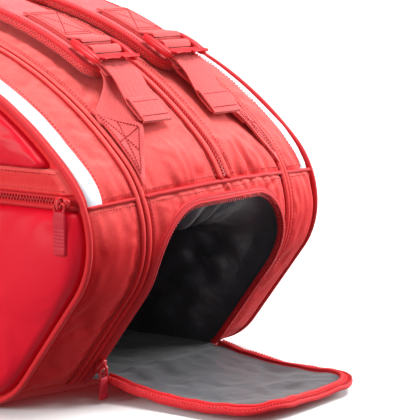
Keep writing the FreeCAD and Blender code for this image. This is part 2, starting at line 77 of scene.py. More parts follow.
HALF, TOP_Z, TOP_R = 292.0, 323.0, 370.0
WIDE_Z, NOSE_R, FLANK, CORNER_R = 146.0, 80.0, math.radians(127), 70.0
ARC_Z = TOP_Z - TOP_R
SHOULDER_R = (TOP_R**2 - HALF**2 - (WIDE_Z - ARC_Z)**2) / (2 * (TOP_R - HALF))
SHOULDER_X = HALF - SHOULDER_R
SHOULDER_A = math.atan2(SHOULDER_X, WIDE_Z - ARC_Z)
FLANK_X = HALF - NOSE_R + NOSE_R * math.sin(FLANK)
FLANK_Z = WIDE_Z + NOSE_R * math.cos(FLANK)
CORNER_X = FLANK_X - (CORNER_R + math.cos(FLANK) * (CORNER_R - FLANK_Z)) / math.sin(FLANK)
FLANK_L = (FLANK_Z - CORNER_R * (1 + math.cos(FLANK))) / math.sin(FLANK)
# distances along the outline at which its arcs and straight parts end
L1 = TOP_R * SHOULDER_A
L2 = L1 + SHOULDER_R * (math.pi / 2 - SHOULDER_A)
L3 = L2 + NOSE_R * (FLANK - math.pi / 2)
L4 = L3 + FLANK_L
L5 = L4 + CORNER_R * (math.pi - FLANK)
L6 = L5 + CORNER_X
SEAM_Y, CROWN = 105.0, 11.3
BASE_SEAM_Z, END_SEAM_Z, ARCH_TOP_Z = 16, 180, 168


def s_at_angle(a):
    """Distance along the outline where its normal has turned by that many radians."""
    if a <= SHOULDER_A:
        return TOP_R * a
    if a <= math.pi / 2:
        return L1 + SHOULDER_R * (a - SHOULDER_A)
    if a <= FLANK:
        return L2 + NOSE_R * (a - math.pi / 2)
    return L4 + CORNER_R * (a - FLANK)


S_SEAM = s_at_angle(math.acos((END_SEAM_Z - WIDE_Z) / SHOULDER_R))
S_CUT = s_at_angle(math.acos((BASE_SEAM_Z - CORNER_R) / CORNER_R))


def xyz(*parts):
    """Numbers or arrays side by side, as the last axis of one array."""
    return np.stack(np.broadcast_arrays(*parts), -1)


def unit(v):
    return v / np.maximum(np.linalg.norm(v, axis=-1, keepdims=True), 1e-9)


def crown(y):
    y = np.abs(y)
    inner = CROWN * (1 - (np.minimum(y, SEAM_Y) / SEAM_Y)**2.1)
    return inner - 9.0 * np.clip((y - SEAM_Y) / 55.0, 0, 2)


def surf(s, y, h=0.0):
    """Points on the bag in millimetres: arrays in, an (..., 3) array out."""
    s, y, h = np.broadcast_arrays(*(np.asarray(v, float) for v in (s, y, h)))
    u, side = np.abs(s), np.where(s < 0, -1.0, 1.0)
    parts = [u < end for end in (L1, L2, L3, L4, L5)]
    a = np.select(parts, [u / TOP_R, SHOULDER_A + (u - L1) / SHOULDER_R, math.pi / 2 + (u - L2) / NOSE_R,
                          np.full_like(u, FLANK), FLANK + (u - L4) / CORNER_R], math.pi)
    nx, nz = np.sin(a), np.cos(a)
    f = np.clip((u - L3) / FLANK_L, 0, 1)
    x = np.select(parts, [TOP_R * nx, SHOULDER_X + SHOULDER_R * nx, HALF - NOSE_R + NOSE_R * nx,
                          FLANK_X + (u - L3) * math.cos(FLANK), CORNER_X + CORNER_R * nx], CORNER_X - (u - L5))
    z = np.select(parts, [ARC_Z + TOP_R * nz, WIDE_Z + SHOULDER_R * nz, WIDE_Z + NOSE_R * nz,
                          FLANK_Z - (u - L3) * math.sin(FLANK), CORNER_R + CORNER_R * nz], 0.0)
    # the crown pushes out along the normal above the flank and level from there down
    level = 1 / math.sin(FLANK)
    sx = np.where(u < L4, nx + (level - nx) * f, level * np.clip((L6 - u) / (L6 - L5), 0, 1))
    sx = np.where((u >= L4) & (u < L5), level, sx)
    c = crown(y)
    return xyz(side * (x + sx * c + nx * h), y, z + nz * (1 - f) * c + nz * h)


def smooth(t):
    t = np.clip(t, 0, 1)
    return t * t * (3 - 2 * t)


def fbm(points, size, seed=0.0, octaves=3):
    """Smooth noise, about -1 to 1, at points in millimetres, with features of that size."""
    flat = np.asarray(points, float).reshape(-1, 3) / size + seed * 7.31
    return np.reshape([noise.fractal(Vector(p), 1.0, 2.0, octaves) for p in flat], np.shape(points)[:-1])


# ------------------------------------------------------------ materials


class Nodes:
    """Short ways to build a node tree. Input names use _ for spaces."""

    def __init__(self, owner):
        owner.use_nodes = True
        self.owner, self.tree, self.normal = owner, owner.node_tree, None

    def put(self, socket, value):
        """Links a socket to an input, or sets the input to a number or colour."""
        if isinstance(value, bpy.types.NodeSocket):
            self.tree.links.new(value, socket)
        else:
            socket.default_value = (*value, 1) if socket.type == "RGBA" else value

    def fill(self, node, **inputs):
        for key, value in inputs.items():
            self.put(node.inputs[key.replace("_", " ")], value)
        return node

    def node(self, kind, **inputs):
        return self.fill(self.tree.nodes.new("ShaderNode" + kind), **inputs)

    def texture(self, kind, scale, at, **inputs):
        at = at or self.node("TexCoord").outputs["Object"]
        return self.node("Tex" + kind, Scale=scale, Vector=at, **inputs).outputs[0]

    def noise(self, scale, detail=2.0, at=None, **inputs):
        return self.texture("Noise", scale, at, Detail=detail, **inputs)

    def voronoi(self, scale, at=None, **inputs):
        return self.texture("Voronoi", scale, at, **inputs)

    def math(self, operation, *values, clamp=False):
        node = self.node("Math")
        node.operation, node.use_clamp = operation, clamp
        for socket, value in zip(node.inputs, values):
            self.put(socket, value)
        return node.outputs[0]

    def mix(self, factor, a, b):
        node = self.node("Mix")
        node.data_type = "RGBA"
        for i, value in ((0, factor), (6, a), (7, b)):
            self.put(node.inputs[i], value)
        return node.outputs[2]

    def split(self, vector):
        return self.node("SeparateXYZ", Vector=vector).outputs

    def uv(self, su, sv, turn=0.0):
        """UV coordinates in repeats: UVs are metres on every piece."""
        node = self.node("Mapping", Vector=self.node("UVMap").outputs[0], Scale=(su, sv, 1), Rotation=(0, 0, turn))
        return node.outputs[0]

    def bump(self, height, strength, distance):
        """One more layer of relief over those before it."""
        node = self.node("Bump", Height=height, Strength=strength, Distance=distance)
        if self.normal:
            self.put(node.inputs["Normal"], self.normal)
        self.normal = node.outputs[0]

    def weave(self, pitch, strength, distance):
        """Relief of a plain weave with threads at that pitch in metres."""
        u, v, _ = self.split(self.uv(math.pi / pitch, math.pi / pitch))
        product = self.math("MULTIPLY", self.math("SINE", u), self.math("SINE", v))
        self.bump(self.math("MULTIPLY_ADD", product, 0.5, 0.5), strength, distance)

    def material(self, **inputs):
        """Ends the tree with a Principled shader that has these inputs and the relief, and gives its material."""
        if self.normal:
            inputs["Normal"] = self.normal
        self.put(self.node("OutputMaterial").inputs[0], self.node("BsdfPrincipled", **inputs).outputs[0])
        return self.owner


def tree_of(name):
    m = Nodes(bpy.data.materials.new(name))
    m.tree.nodes.clear()
    return m


def fabric(name, light, dark, heather=0.5, pitch=0.0009, rough=0.82, sheen=0.25, depth=0.00022, top_lit_colours=None):
    """Woven cloth: two-tone heathered yarns, plain weave relief, a soft sheen, and, if given, painted light: paler
    colour where it faces up.
    """
    m = tree_of(name)
    along, across = (m.noise(1.0, 3.0, m.uv(*repeats), Roughness=0.65) for repeats in ((130, 1500), (1500, 130)))
    ramp = m.node("ValToRGB", Fac=m.math("MULTIPLY", m.math("ADD", along, across), 0.5))
    for end, position in zip(ramp.color_ramp.elements, (0.39, 0.61)):
        end.position = position
    yarns = m.math("MULTIPLY_ADD", ramp.outputs[0], heather, 0.5 - heather / 2)
    fac = m.math("ADD", yarns, m.math("MULTIPLY_ADD", m.noise(14.0), 0.16, -0.08), clamp=True)
    colour = m.mix(fac, dark, light)
    # painted light: the more a surface faces up, the more it is mixed towards the paler pair of colours, standing in
    # for the overhead light
    if top_lit_colours:
        up = m.split(m.node("NewGeometry").outputs["Normal"])[2]
        facing_up_light = m.math("MULTIPLY_ADD", up, 0.95, 0.12, clamp=True)
        colour = m.mix(facing_up_light, colour, m.mix(fac, top_lit_colours[1], top_lit_colours[0]))
    m.weave(pitch, 0.55, depth)
    m.bump(m.noise(900.0), 0.35, 0.0003)
    return m.material(Base_Color=colour, Roughness=rough, Sheen_Weight=sheen, Sheen_Roughness=0.45,
                      Sheen_Tint=(1.0, 0.52, 0.50), Specular_IOR_Level=0.15)


def webbing_cloth(name, light, dark, chevron=0.0032, rib=0.0019, cord=0.0016):
    """Ribbed webbing: chevron twill across its width with heathered yarns."""
    m = tree_of(name)
    u, v, _ = m.split(m.uv(1, 1))
    run = m.math("ADD", u, m.math("PINGPONG", v, chevron))
    ribs = m.math("MULTIPLY_ADD", m.math("SINE", m.math("MULTIPLY", run, 2 * math.pi / rib)), 0.5, 0.5)
    cords = m.math("SINE", m.math("MULTIPLY", v, 2 * math.pi / cord))
    m.bump(m.math("ADD", ribs, m.math("MULTIPLY", cords, 0.35)), 0.7, 0.0005)
    speck = m.math("MULTIPLY", m.noise(1.0, 2.0, m.uv(350, 900)), 0.75)
    # partly painted shade: the grooves between the ribs are darker and the rib tops lighter; the specks are the yarns'
    # own heather
    fac = m.math("ADD", m.math("MULTIPLY_ADD", ribs, 0.4, -0.12), speck, clamp=True)
    return m.material(Base_Color=m.mix(fac, dark, light), Roughness=0.72, Sheen_Weight=0.3,
                      Sheen_Tint=(1.0, 0.75, 0.72))


def film(name, colour, deep, rough):
    """Polyurethane film over foam: even colour with a soft gloss and a fine leather-like pebble."""
    m = tree_of(name)
    m.bump(m.voronoi(1100.0), 0.10, 0.0002)
    m.bump(m.noise(9.0, 1.5), 0.25, 0.004)
    return m.material(Base_Color=m.mix(m.noise(6.0), deep, colour),
                      Roughness=m.math("MULTIPLY_ADD", m.noise(22.0, 3.0), 0.12, rough - 0.06),
                      Coat_Weight=0.05, Coat_Roughness=0.32, Specular_IOR_Level=0.14)


def plastic(name, colour, deep, rough, pebble=0.0003, scale=700.0):
    """Moulded plastic, rubber, paint or thread: a fine grain and slightly worn gloss."""
    m = tree_of(name)
    tone = m.noise(60.0, 3.0)
    m.bump(m.noise(scale), 0.3, pebble)
    return m.material(Base_Color=m.mix(tone, deep, colour), Specular_IOR_Level=0.3,
                      Roughness=m.math("MULTIPLY_ADD", tone, 0.15, rough - 0.07))


def mesh_cloth(name, light, dark):
    """Spacer mesh of the straps' sides: rows of small holes between thick yarns."""
    m = tree_of(name)
    hole = m.math("LESS_THAN", m.voronoi(1.0, m.uv(430, 430, math.radians(45)), Randomness=0.25), 0.34)
    m.bump(m.math("MULTIPLY", hole, -1.0), 0.8, 0.0006)
    # painted shade: the holes are coloured dark for the shade inside them
    return m.material(Base_Color=m.mix(hole, light, dark), Roughness=0.75, Sheen_Weight=0.3)


def lining_cloth(name):
    """Thin grey satin with sharp crumples."""
    m = tree_of(name)
    folds = m.noise(30.0, 4.0, Roughness=0.5, Distortion=0.4)
    m.bump(m.math("ABSOLUTE", m.math("SUBTRACT", folds, 0.5)), 0.6, 0.005)
    m.weave(0.0006, 0.3, 0.0001)
    return m.material(Base_Color=m.mix(m.noise(40.0, 4.0), (0.030, 0.029, 0.035), (0.088, 0.086, 0.098)),
                      Roughness=0.42, Sheen_Weight=0.2)


def reflective_cloth(name):
    """Silver-white reflective tape: a fine bead texture with a faint cold iridescence."""
    m = tree_of(name)
    tone = m.noise(25.0, Distortion=1.0)
    m.bump(m.voronoi(2600.0), 0.25, 0.0001)
    m.bump(tone, 0.3, 0.002)
    return m.material(Base_Color=m.mix(tone, (0.66, 0.76, 0.86), (0.80, 0.81, 0.85)), Roughness=0.38,
                      Metallic=0.15)


# the last pair of colours of these two cloths is painted light: the paler tones of their upward-facing sides
CORAL = fabric("coral_polyester", (0.80, 0.030, 0.034), (0.66, 0.004, 0.010), 0.6, sheen=0.12,
               top_lit_colours=((0.88, 0.175, 0.160), (0.72, 0.085, 0.080)))
CORAL_PAD = fabric("coral_strap_top", (0.84, 0.075, 0.080), (0.68, 0.020, 0.028), 0.5, sheen=0.2,
                   top_lit_colours=((0.90, 0.190, 0.195), (0.76, 0.085, 0.095)))
BINDING = fabric("binding_tape", (0.74, 0.045, 0.050), (0.52, 0.018, 0.026), 0.35, 0.0007, 0.6, 0.2)
PIPING = fabric("piping_tape", (0.72, 0.030, 0.035), (0.56, 0.012, 0.020), 0.3, 0.0006, 0.5, 0.15, 0.00012)
ZIPTAPE = fabric("zip_tape", (0.72, 0.030, 0.036), (0.56, 0.012, 0.020), 0.3, 0.0007, 0.6, 0.15)
COIL = plastic("zip_coil", (0.72, 0.040, 0.045), (0.50, 0.015, 0.022), 0.38)
WEBBING = webbing_cloth("ribbed_webbing", (0.90, 0.140, 0.132), (0.70, 0.026, 0.034))
FILM = film("gloss_film", (0.76, 0.006, 0.026), (0.68, 0.004, 0.018), 0.42)
MESH = mesh_cloth("spacer_mesh", (0.80, 0.060, 0.062), (0.24, 0.006, 0.010))
LINING = lining_cloth("grey_lining")
REFLECTIVE = reflective_cloth("reflective_tape")
BUCKLE = plastic("buckle_plastic", (0.76, 0.032, 0.040), (0.66, 0.018, 0.026), 0.33)
RUBBER = plastic("puller_rubber", (0.60, 0.012, 0.032), (0.46, 0.007, 0.020), 0.55, 0.0004, 500.0)
METAL = plastic("slider_paint", (0.68, 0.022, 0.030), (0.52, 0.010, 0.016), 0.30, 0.0001)
THREAD = plastic("stitching_thread", (0.50, 0.010, 0.020), (0.36, 0.005, 0.012), 0.6, 0.0002, 1500.0)
SOFT_THREAD = plastic("topstitch_thread", (0.56, 0.018, 0.026), (0.42, 0.010, 0.016), 0.6, 0.0002, 1500.0)

# ------------------------------------------------------------ mesh helpers


def add(name, points, faces, mats, uvs, face_mats=None, flat=False):
    """New mesh object from points and UVs in millimetres, one UV per point."""
    mesh = bpy.data.meshes.new(name)
    mesh.from_pydata((np.reshape(points, (-1, 3)) / 1000).tolist(), [], [tuple(map(int, f)) for f in faces])
    for m in mats if isinstance(mats, list) else [mats]:
        mesh.materials.append(m)
    if face_mats is not None:
        mesh.polygons.foreach_set("material_index", np.asarray(face_mats, np.int32))
    mesh.polygons.foreach_set("use_smooth", np.full(len(mesh.polygons), not flat))
    loops = np.empty(len(mesh.loops), np.int32)
    mesh.loops.foreach_get("vertex_index", loops)
    uvs = (np.reshape(uvs, (-1, 2)) / 1000).astype(np.float32)
    mesh.uv_layers.new(name="UVMap").data.foreach_set("uv", uvs[loops].ravel())
    mesh.update()
    obj = bpy.data.objects.new(name, mesh)
    bpy.context.scene.collection.objects.link(obj)
    return obj


def grid_faces(n, m, wrap=False, flip=False):
    """Quads of an n by m grid of points, row by row. wrap joins the last column to the first."""
    i, j = table(np.arange(n - 1), np.arange(m if wrap else m - 1))
    k = (j + 1) % m
    quads = xyz(i * m + j, i * m + k, (i + 1) * m + k, (i + 1) * m + j).reshape(-1, 4)
    return quads[:, ::-1] if flip else quads


def table(a, b):
    """Both arrays spread over the grid that they span."""
    return np.meshgrid(a, b, indexing="ij")


def grid(name, points, mat, u, v, flip=True):
    """Sheet from a grid of points."""
    return add(name, points, grid_faces(*points.shape[:2], flip=flip), mat, xyz(u, v))


def spans(a, b, step):
    return np.linspace(a, b, max(2, int(round(abs(b - a) / step)) + 1))


def settle(obj, pinned, pressure, cap, swell):
    """Lets the cloth of a fabric piece find its own folds, then keeps the result within cap millimetres."""
    mesh, frames = obj.data, 14
    start = np.array([v.co for v in mesh.vertices])
    group = obj.vertex_groups.new(name="held")
    for i, w in enumerate(pinned):
        group.add([i], float(w), "REPLACE")
    cloth = obj.modifiers.new("cloth", "CLOTH")
    for key, value in dict(quality=5, mass=0.25, tension_stiffness=18, compression_stiffness=18, shear_stiffness=8,
                           bending_stiffness=0.6, vertex_group_mass="held", pin_stiffness=1.0, use_pressure=True,
                           uniform_pressure_force=pressure, shrink_min=-swell).items():
        setattr(cloth.settings, key, value)
    cloth.settings.effector_weights.gravity = 0
    cloth.collision_settings.use_collision = False
    cloth.point_cache.frame_start = 1
    cloth.point_cache.frame_end = frames
    scene = bpy.context.scene
    for f in range(1, frames + 1):
        scene.frame_set(f)
    got = obj.evaluated_get(bpy.context.evaluated_depsgraph_get()).to_mesh()
    moved = np.array([v.co for v in got.vertices]) - start
    obj.modifiers.remove(cloth)
    obj.vertex_groups.clear()
    scene.frame_set(1)
    size = np.linalg.norm(moved, axis=1, keepdims=True)
    limit = cap / 1000
    moved *= limit * np.tanh(size / limit) / np.maximum(size, 1e-9)
    mesh.vertices.foreach_set("co", (start + moved).astype(np.float32).ravel())
    mesh.update()


def subdivide(obj):
    mod = obj.modifiers.new("subd", "SUBSURF")
    mod.levels = mod.render_levels = 1
    mod.boundary_smooth = "PRESERVE_CORNERS"


def labelled(obj, slot, *nodes):
    """obj stands for CAD nodes, which are hidden. slot is not used."""
    if nodes:
        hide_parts(*nodes)
    return obj


def done(obj, body, slot, *nodes):
    """obj rides on a body too."""
    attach(obj, body)
    return labelled(obj, slot, *nodes)


def patch(name, s, y, relief, mat, flip=False):
    """Panel on the bag's surface over arrays of s and y, with relief(S, Y) in millimetres."""
    S, Y = table(s, y)
    return grid(name, surf(S, Y, relief(S, Y)), mat, S, Y, not flip)


def frames_along(path, up, closed=False):
    """Tangent, side and up vectors at each point of a path. up is one vector, one per point, or a function."""
    up = up(path) if callable(up) else np.broadcast_to(np.asarray(up, float), path.shape)
    t = unit(np.roll(path, -1, 0) - np.roll(path, 1, 0) if closed else np.gradient(path, axis=0))
    side = unit(np.cross(up, t))
    return t, side, np.cross(t, side)


def run_of(path):
    """Distance along a path at each of its points."""
    return np.concatenate([[0], np.cumsum(np.linalg.norm(np.diff(path, axis=0), axis=1))])


def sweep(name, path, up, profile, mat, closed=False):
    """Closed profile of (side, up) points swept along a path, capped at its ends or closed to a ring."""
    path, profile = np.asarray(path, float), np.asarray(profile, float)
    _, side, lift = frames_along(path, up, closed)
    profile = np.broadcast_to(profile, (len(path), *profile.shape[-2:]))
    pts = path[:, None] + side[:, None] * profile[..., :1] + lift[:, None] * profile[..., 1:]
    n, m = pts.shape[:2]
    faces = grid_faces(n, m, wrap=True).tolist()
    if closed:
        faces += [[(n - 1) * m + j, (n - 1) * m + (j + 1) % m, (j + 1) % m, j] for j in range(m)]
    else:
        faces += [list(range(m))[::-1], list(range((n - 1) * m, n * m))]
    return add(name, pts, faces, mat, xyz(run_of(path)[:, None], run_of(profile[0])))


def circle(r, n=8, squash=1.0):
    a = np.linspace(0, 2 * math.pi, n, endpoint=False)
    return xyz(r * np.cos(a), r * squash * np.sin(a))


def rounded(w, h, r):
    """Rounded rectangle profile, width w and height h, centred on its middle."""
    a = np.radians(90 * np.arange(4)[:, None] + np.linspace(0, 90, 4)).reshape(-1, 1)
    corner = np.repeat([(1, 1), (-1, 1), (-1, -1), (1, -1)], 4, axis=0)
    return corner * (w / 2 - r, h / 2 - r) + r * np.hstack([np.cos(a), np.sin(a)])


def resample(path, step):
    d = run_of(path)
    at = spans(0, d[-1], step)
    return xyz(*(np.interp(at, d, path[:, k]) for k in range(3)))


def smooth_path(points, passes):
    """Rounds a path's corners by cutting them, keeping its ends."""
    p = np.asarray(points, float)
    for _ in range(passes):
        cut = np.stack([0.75 * p[:-1] + 0.25 * p[1:], 0.25 * p[:-1] + 0.75 * p[1:]], 1).reshape(-1, p.shape[1])
        p = np.concatenate([p[:1], cut, p[-1:]])
    return p


def outwards(obj, weld=0.0, face_y=0):
    """Welds points closer than that many metres and turns the faces outward, or mostly towards that side in y."""
    bm = bmesh.new()
    bm.from_mesh(obj.data)
    if weld:
        bmesh.ops.remove_doubles(bm, verts=bm.verts, dist=weld)
    bmesh.ops.recalc_face_normals(bm, faces=bm.faces)
    if sum(f.normal.y * f.calc_area() for f in bm.faces) * face_y < 0:
        bmesh.ops.reverse_faces(bm, faces=bm.faces)
    bm.to_mesh(obj.data)
    bm.free()
    return obj


def join(name, objs):
    """One mesh out of several, keeping their materials and UVs."""
    bpy.ops.object.select_all(action="DESELECT")
    for o in objs:
        o.select_set(True)
    bpy.context.view_layer.objects.active = objs[0]
    bpy.ops.object.join()
    objs[0].name = objs[0].data.name = name
    objs[0].select_set(False)
    return objs[0]


def sewn_on(obj, mm):
    """Gives a sheet on the bag a thickness, inwards from the face that was drawn, and soft edges."""
    if sum(f.normal.dot(f.center - Vector((0, f.center.y, 0.1))) for f in obj.data.polygons) < 0:
        obj.data.flip_normals()
    mod = obj.modifiers.new("thick", "SOLIDIFY")
    mod.thickness, mod.offset = mm / 1000, -1.0
    soft = obj.modifiers.new("soft", "BEVEL")
    soft.width, soft.segments, soft.limit_method, soft.angle_limit = 0.0006, 2, "ANGLE", math.radians(40)


BLOCK = np.array([(x, y, z) for x in (-1, 1) for y in (-1, 1) for z in (-1, 1)], float) / 2
BLOCK_FACES = np.array([(0, 1, 3, 2), (4, 6, 7, 5), (0, 4, 5, 1), (2, 3, 7, 6), (0, 2, 6, 4), (1, 5, 7, 3)])


def scatter(name, centres, t, side, up, size, mat, taper):
    """Many small blocks, each with its own axes and the same size: stitches and zip teeth."""
    block = BLOCK * size
    block[block[:, 2] > 0, :2] *= taper
    pts = (centres[:, None] + t[:, None] * block[None, :, :1] + side[:, None] * block[None, :, 1:2]
           + up[:, None] * block[None, :, 2:])
    faces = (BLOCK_FACES[None] + 8 * np.arange(len(centres))[:, None, None]).reshape(-1, 4)
    return add(name, pts, faces, mat, np.zeros((pts.size // 3, 2)), flat=True)


def stitches(name, paths, up, body, pitch=3.6, length=2.3, width=0.75, mat=THREAD):
    """Rows of thread along paths in millimetres. up is the surface normal, or a function that gives it at points."""
    rows = []
    for path in paths:
        pts = resample(path, pitch)
        mid, t = (pts[1:] + pts[:-1]) / 2, unit(pts[1:] - pts[:-1])
        side = unit(np.cross(up(mid) if callable(up) else np.asarray(up, float), t))
        rows.append((mid, t, side, np.cross(t, side)))
    obj = scatter(name, *map(np.concatenate, zip(*rows)), (length, width, 0.5), mat, 0.7)
    return done(obj, body, "piping_tape")


def zip_teeth(name, path, up, body, reach=3.0, pitch=1.55):
    pts = resample(path, pitch)
    t, side, up = frames_along(pts, up)
    shift = np.where(np.arange(len(pts)) % 2, 0.75, -0.75)[:, None]
    obj = scatter(name, pts + side * shift, t, side, up, (0.95, reach, 1.3), COIL, 0.75)
    return done(obj, body, "zip_tape")


def outward(p):
    """Normal of the bag near points on its ends and top: away from the axis of its long arcs."""
    x, z = p[..., 0], p[..., 2]
    a1 = np.arctan2(np.abs(x), z - ARC_Z)
    a2 = np.arctan2(np.abs(x) - SHOULDER_X, z - WIDE_Z)
    a3 = np.minimum(np.arctan2(np.abs(x) - (HALF - NOSE_R), z - WIDE_Z), FLANK)
    a = np.where(a1 < SHOULDER_A, a1, np.where(z > WIDE_Z, a2, a3))
    return xyz(np.sin(a) * np.sign(x + 1e-9), 0, np.cos(a))


def cord(name, path, r, body, *nodes, n=8, up=outward, closed=False):
    """Round piping along a path."""
    done(sweep(name, path, up, circle(r, n), PIPING, closed), body, "piping_tape", *nodes)


def over_arc(p):
    """Directions away from the axis of the long top arc."""
    return unit(xyz(p[..., 0], 0, p[..., 2] - ARC_Z))


def arc_point(angle, off, y):
    """Point over the long top arc, angle in degrees from straight up."""
    a, off = np.radians(angle), np.asarray(off, float)
    return xyz((TOP_R + off) * np.sin(a), y, ARC_Z + (TOP_R + off) * np.cos(a))


def between(a, b, n):
    """n points on the line from a to b."""
    k = np.linspace(0, 1, n)[:, None]
    return np.asarray(a) * (1 - k) + np.asarray(b) * k


def crossed_box(a0, a1, b0, b1):
    """Stitch lines of a box with a cross in it, as pairs of points."""
    p = (a0, b0), (a1, b0), (a1, b1), (a0, b1)
    return [(p[i], p[j]) for i, j in ((0, 1), (1, 2), (2, 3), (3, 0), (0, 2), (1, 3))]


class Frame:
    """Local axes u, v, w at an origin, in millimetres."""

    def __init__(self, origin, u, w):
        self.o, self.u, self.w = (np.asarray(a, float) for a in (origin, u, w))
        self.v = np.cross(self.w, self.u)

    def __call__(self, pts):
        pts = np.asarray(pts, float)
        return self.o + pts[..., :1] * self.u + pts[..., 1:2] * self.v + pts[..., 2:3] * self.w


def on_top(angle, off, y, way=1):
    """Frame on the long top arc, its u down towards the shoe end, or the plain end for way -1."""
    a = math.radians(angle)
    return Frame(arc_point(angle, off, y), (way * math.cos(a), 0, -way * math.sin(a)), (math.sin(a), 0, math.cos(a)))

# ------------------------------------------------------------ centre of the bag


def puckers(S, Y, reach=32.0, amount=1.0):
    """Small gathers on both sides of the horizontal end seams, deeper towards the rear."""
    deep = 0.55 + 0.9 * smooth((Y + 30) / 90)
    gathers = fbm(xyz(Y / 5.2, S / 42.0, 0), 1.0, 3.0, 2)
    return amount * deep * np.exp(-np.abs(np.abs(S) - S_SEAM) / reach) * gathers * 7.5


def panel_relief(s0, s1, y0, y1, puff, seed, gather=1.0):
    def relief(S, Y):
        d = np.minimum(np.minimum(S - s0, s1 - S), np.minimum(Y - y0, y1 - Y))
        soft = 1.3 * fbm(xyz(S, Y, 0), 85.0, seed) + 0.5 * fbm(xyz(S, Y, 0), 24.0, seed + 2, 2)
        seam = puff * (1 - np.exp(-d / 6)) - 1.1 * np.exp(-d / 1.8)
        return seam + soft * (1 - np.exp(-d / 12)) + puckers(S, Y, amount=gather) * (1 - np.exp(-d / 3))
    return relief


def edge_pins(n, m):
    """Pin weights of an n by m grid: held at the seams, free in the middle."""
    i, j = table(np.arange(n), np.arange(m))
    return np.exp(-np.minimum(np.minimum(i, n - 1 - i), np.minimum(j, m - 1 - j)) / 2).ravel()


def panel(name, s0, s1, y0, y1, node, seed):
    """Cloth panel of the middle of the bag. It lies flatter where the straps, roots and wings press on it."""
    s, y = spans(s0, s1, 4), spans(y0, y1, 4)
    S, Y = table(s, y)
    a, off = np.degrees(S / TOP_R), np.abs(Y)
    under_strap = smooth((36 - np.abs(off - 50)) / 8) * smooth((a + 45) / 3) * smooth((47 - a) / 3)
    under_wing = smooth((off - 62) / 6) * smooth((a - 36) / 2) * smooth((52 - a) / 2)
    pressed = np.maximum(under_strap, under_wing)
    loose = panel_relief(s0, s1, y0, y1, 1.8, seed)(S, Y)
    relief = loose * (1 - pressed) + np.clip(loose, -3, 0.9) * pressed
    obj = patch(name, s, y, lambda S, Y: relief, CORAL)
    settle(obj, np.maximum(edge_pins(len(s), len(y)), 0.97 * pressed.ravel()), 1.2, 2.2, 0.035)
    subdivide(obj)
    done(obj, "bag", "coral_polyester", node)


panel("top_front_cloth", -S_SEAM, S_SEAM, -101.0, -8.4, "top_panel_front", 1)
panel("top_rear_cloth", -S_SEAM, S_SEAM, 8.4, 101.0, "top_panel_rear", 2)
panel("plain_end_cloth", -S_CUT, -S_SEAM, -101.0, 101.0, "plain_end_panel", 3)


def tucked(S, Y):
    """The base cloth rolls in under the flanks."""
    return -2.2 * np.exp(-(np.abs(S) - (S_CUT - 2.6)) / 1.1)


flat = np.concatenate([[S_CUT - 2.6, S_CUT - 2.0, S_CUT - 1.2], spans(S_CUT, L5, 3), spans(L5, L6, 12)[1:]])
S, Y = table(flat, spans(-160, 160, 8))
# at the opening it stays clear of the flap's hinge
S = np.where(np.abs(Y) < 94, np.maximum(S, S_CUT + 0.02 * np.arange(len(flat))[:, None]), S)
done(grid("base_cloth", surf(S, Y, tucked(S, Y)), CORAL, S, Y), "bag", "coral_polyester", "base_panel")
done(patch("base_cloth_plain_end", -flat, spans(-160, 160, 8), tucked, CORAL, flip=True), "bag", "coral_polyester")


def seam_lip(name, y, s1, body, width=5.6, height=3.4, h=0.9, nodes=()):
    """Rolled fold of cloth beside a zip."""
    s = spans(-s1, s1, 4)
    path = surf(s, y + 0.35 * fbm(xyz(s, 0 * s + y, 0), 30.0, 5), h)
    up = unit(surf(s, y, 10) - surf(s, y, 0))
    done(sweep(name, path, up, circle(width / 2, 10, height / width), CORAL), body, "coral_polyester", *nodes)


# main zip
ZIP_END = S_SEAM - 4
done(patch("main_zip_tape", spans(-S_SEAM + 2, S_SEAM - 2, 4), np.linspace(-9.5, 9.5, 9),
           lambda S, Y: 0.4 - 0.02 * np.abs(Y), ZIPTAPE), "bag", "zip_tape", "main_zip")
for k, y in enumerate((-5.6, 5.6)):
    seam_lip(f"main_zip_lip_{k}", y, S_SEAM - 1, "bag", 6.4, 3.2, 1.2)
zip_teeth("main_zip_coil", surf(spans(-ZIP_END, ZIP_END, 2), 0, 1.9), outward, "bag")

# cords and topstitching of the end seams
rows = []
for k, sgn in enumerate((1, -1)):
    y = spans(-101, 101, 4)
    path = surf(sgn * (S_SEAM + 0.5 * fbm(xyz(y, 0, 0), 17.0, 9 + k)), y, 0.6)
    cord(f"end_seam_cord_{k}", path, 1.9, "bag", *["end_seam_cords"][k:])
    rows += [surf(sgn * (S_SEAM - 5), spans(y0, y1, 4), 1.9) for y0, y1 in ((-98, -10), (10, 98))]
    rows.append(surf(sgn * (S_SEAM + 5), spans(-98, 98, 4), 1.9))
rows += [surf(spans(-ZIP_END, ZIP_END, 4), y, 2.4) for y in (-12.6, 12.6)]
rows += [surf(spans(-S_CUT + 4, S_CUT - 4, 4), y, 2.2) for y in (-97.0, 97.0)]
stitches("centre_topstitching", rows, outward, "bag", mat=SOFT_THREAD)

# side zips: body halves
for side, sgn in (("front", -1), ("rear", 1)):
    seam_lip(f"{side}_side_zip_body_lip", sgn * 101.9, S_CUT, "bag", nodes=["side_zip_body_halves"][sgn > 0:])
    done(patch(f"{side}_side_zip_tape", spans(-S_CUT, S_CUT, 4), sgn * 105.2 + np.array([-4, 0, 4]),
               lambda S, Y: 0 * S - 1.0, ZIPTAPE), "bag", "zip_tape")

# ------------------------------------------------------------ shoe pocket

ARCH_HALF, ARCH_R = 90.0, 48.0
ARCH_TOP = s_at_angle(math.acos((ARCH_TOP_Z - WIDE_Z) / (SHOULDER_R + CROWN)))


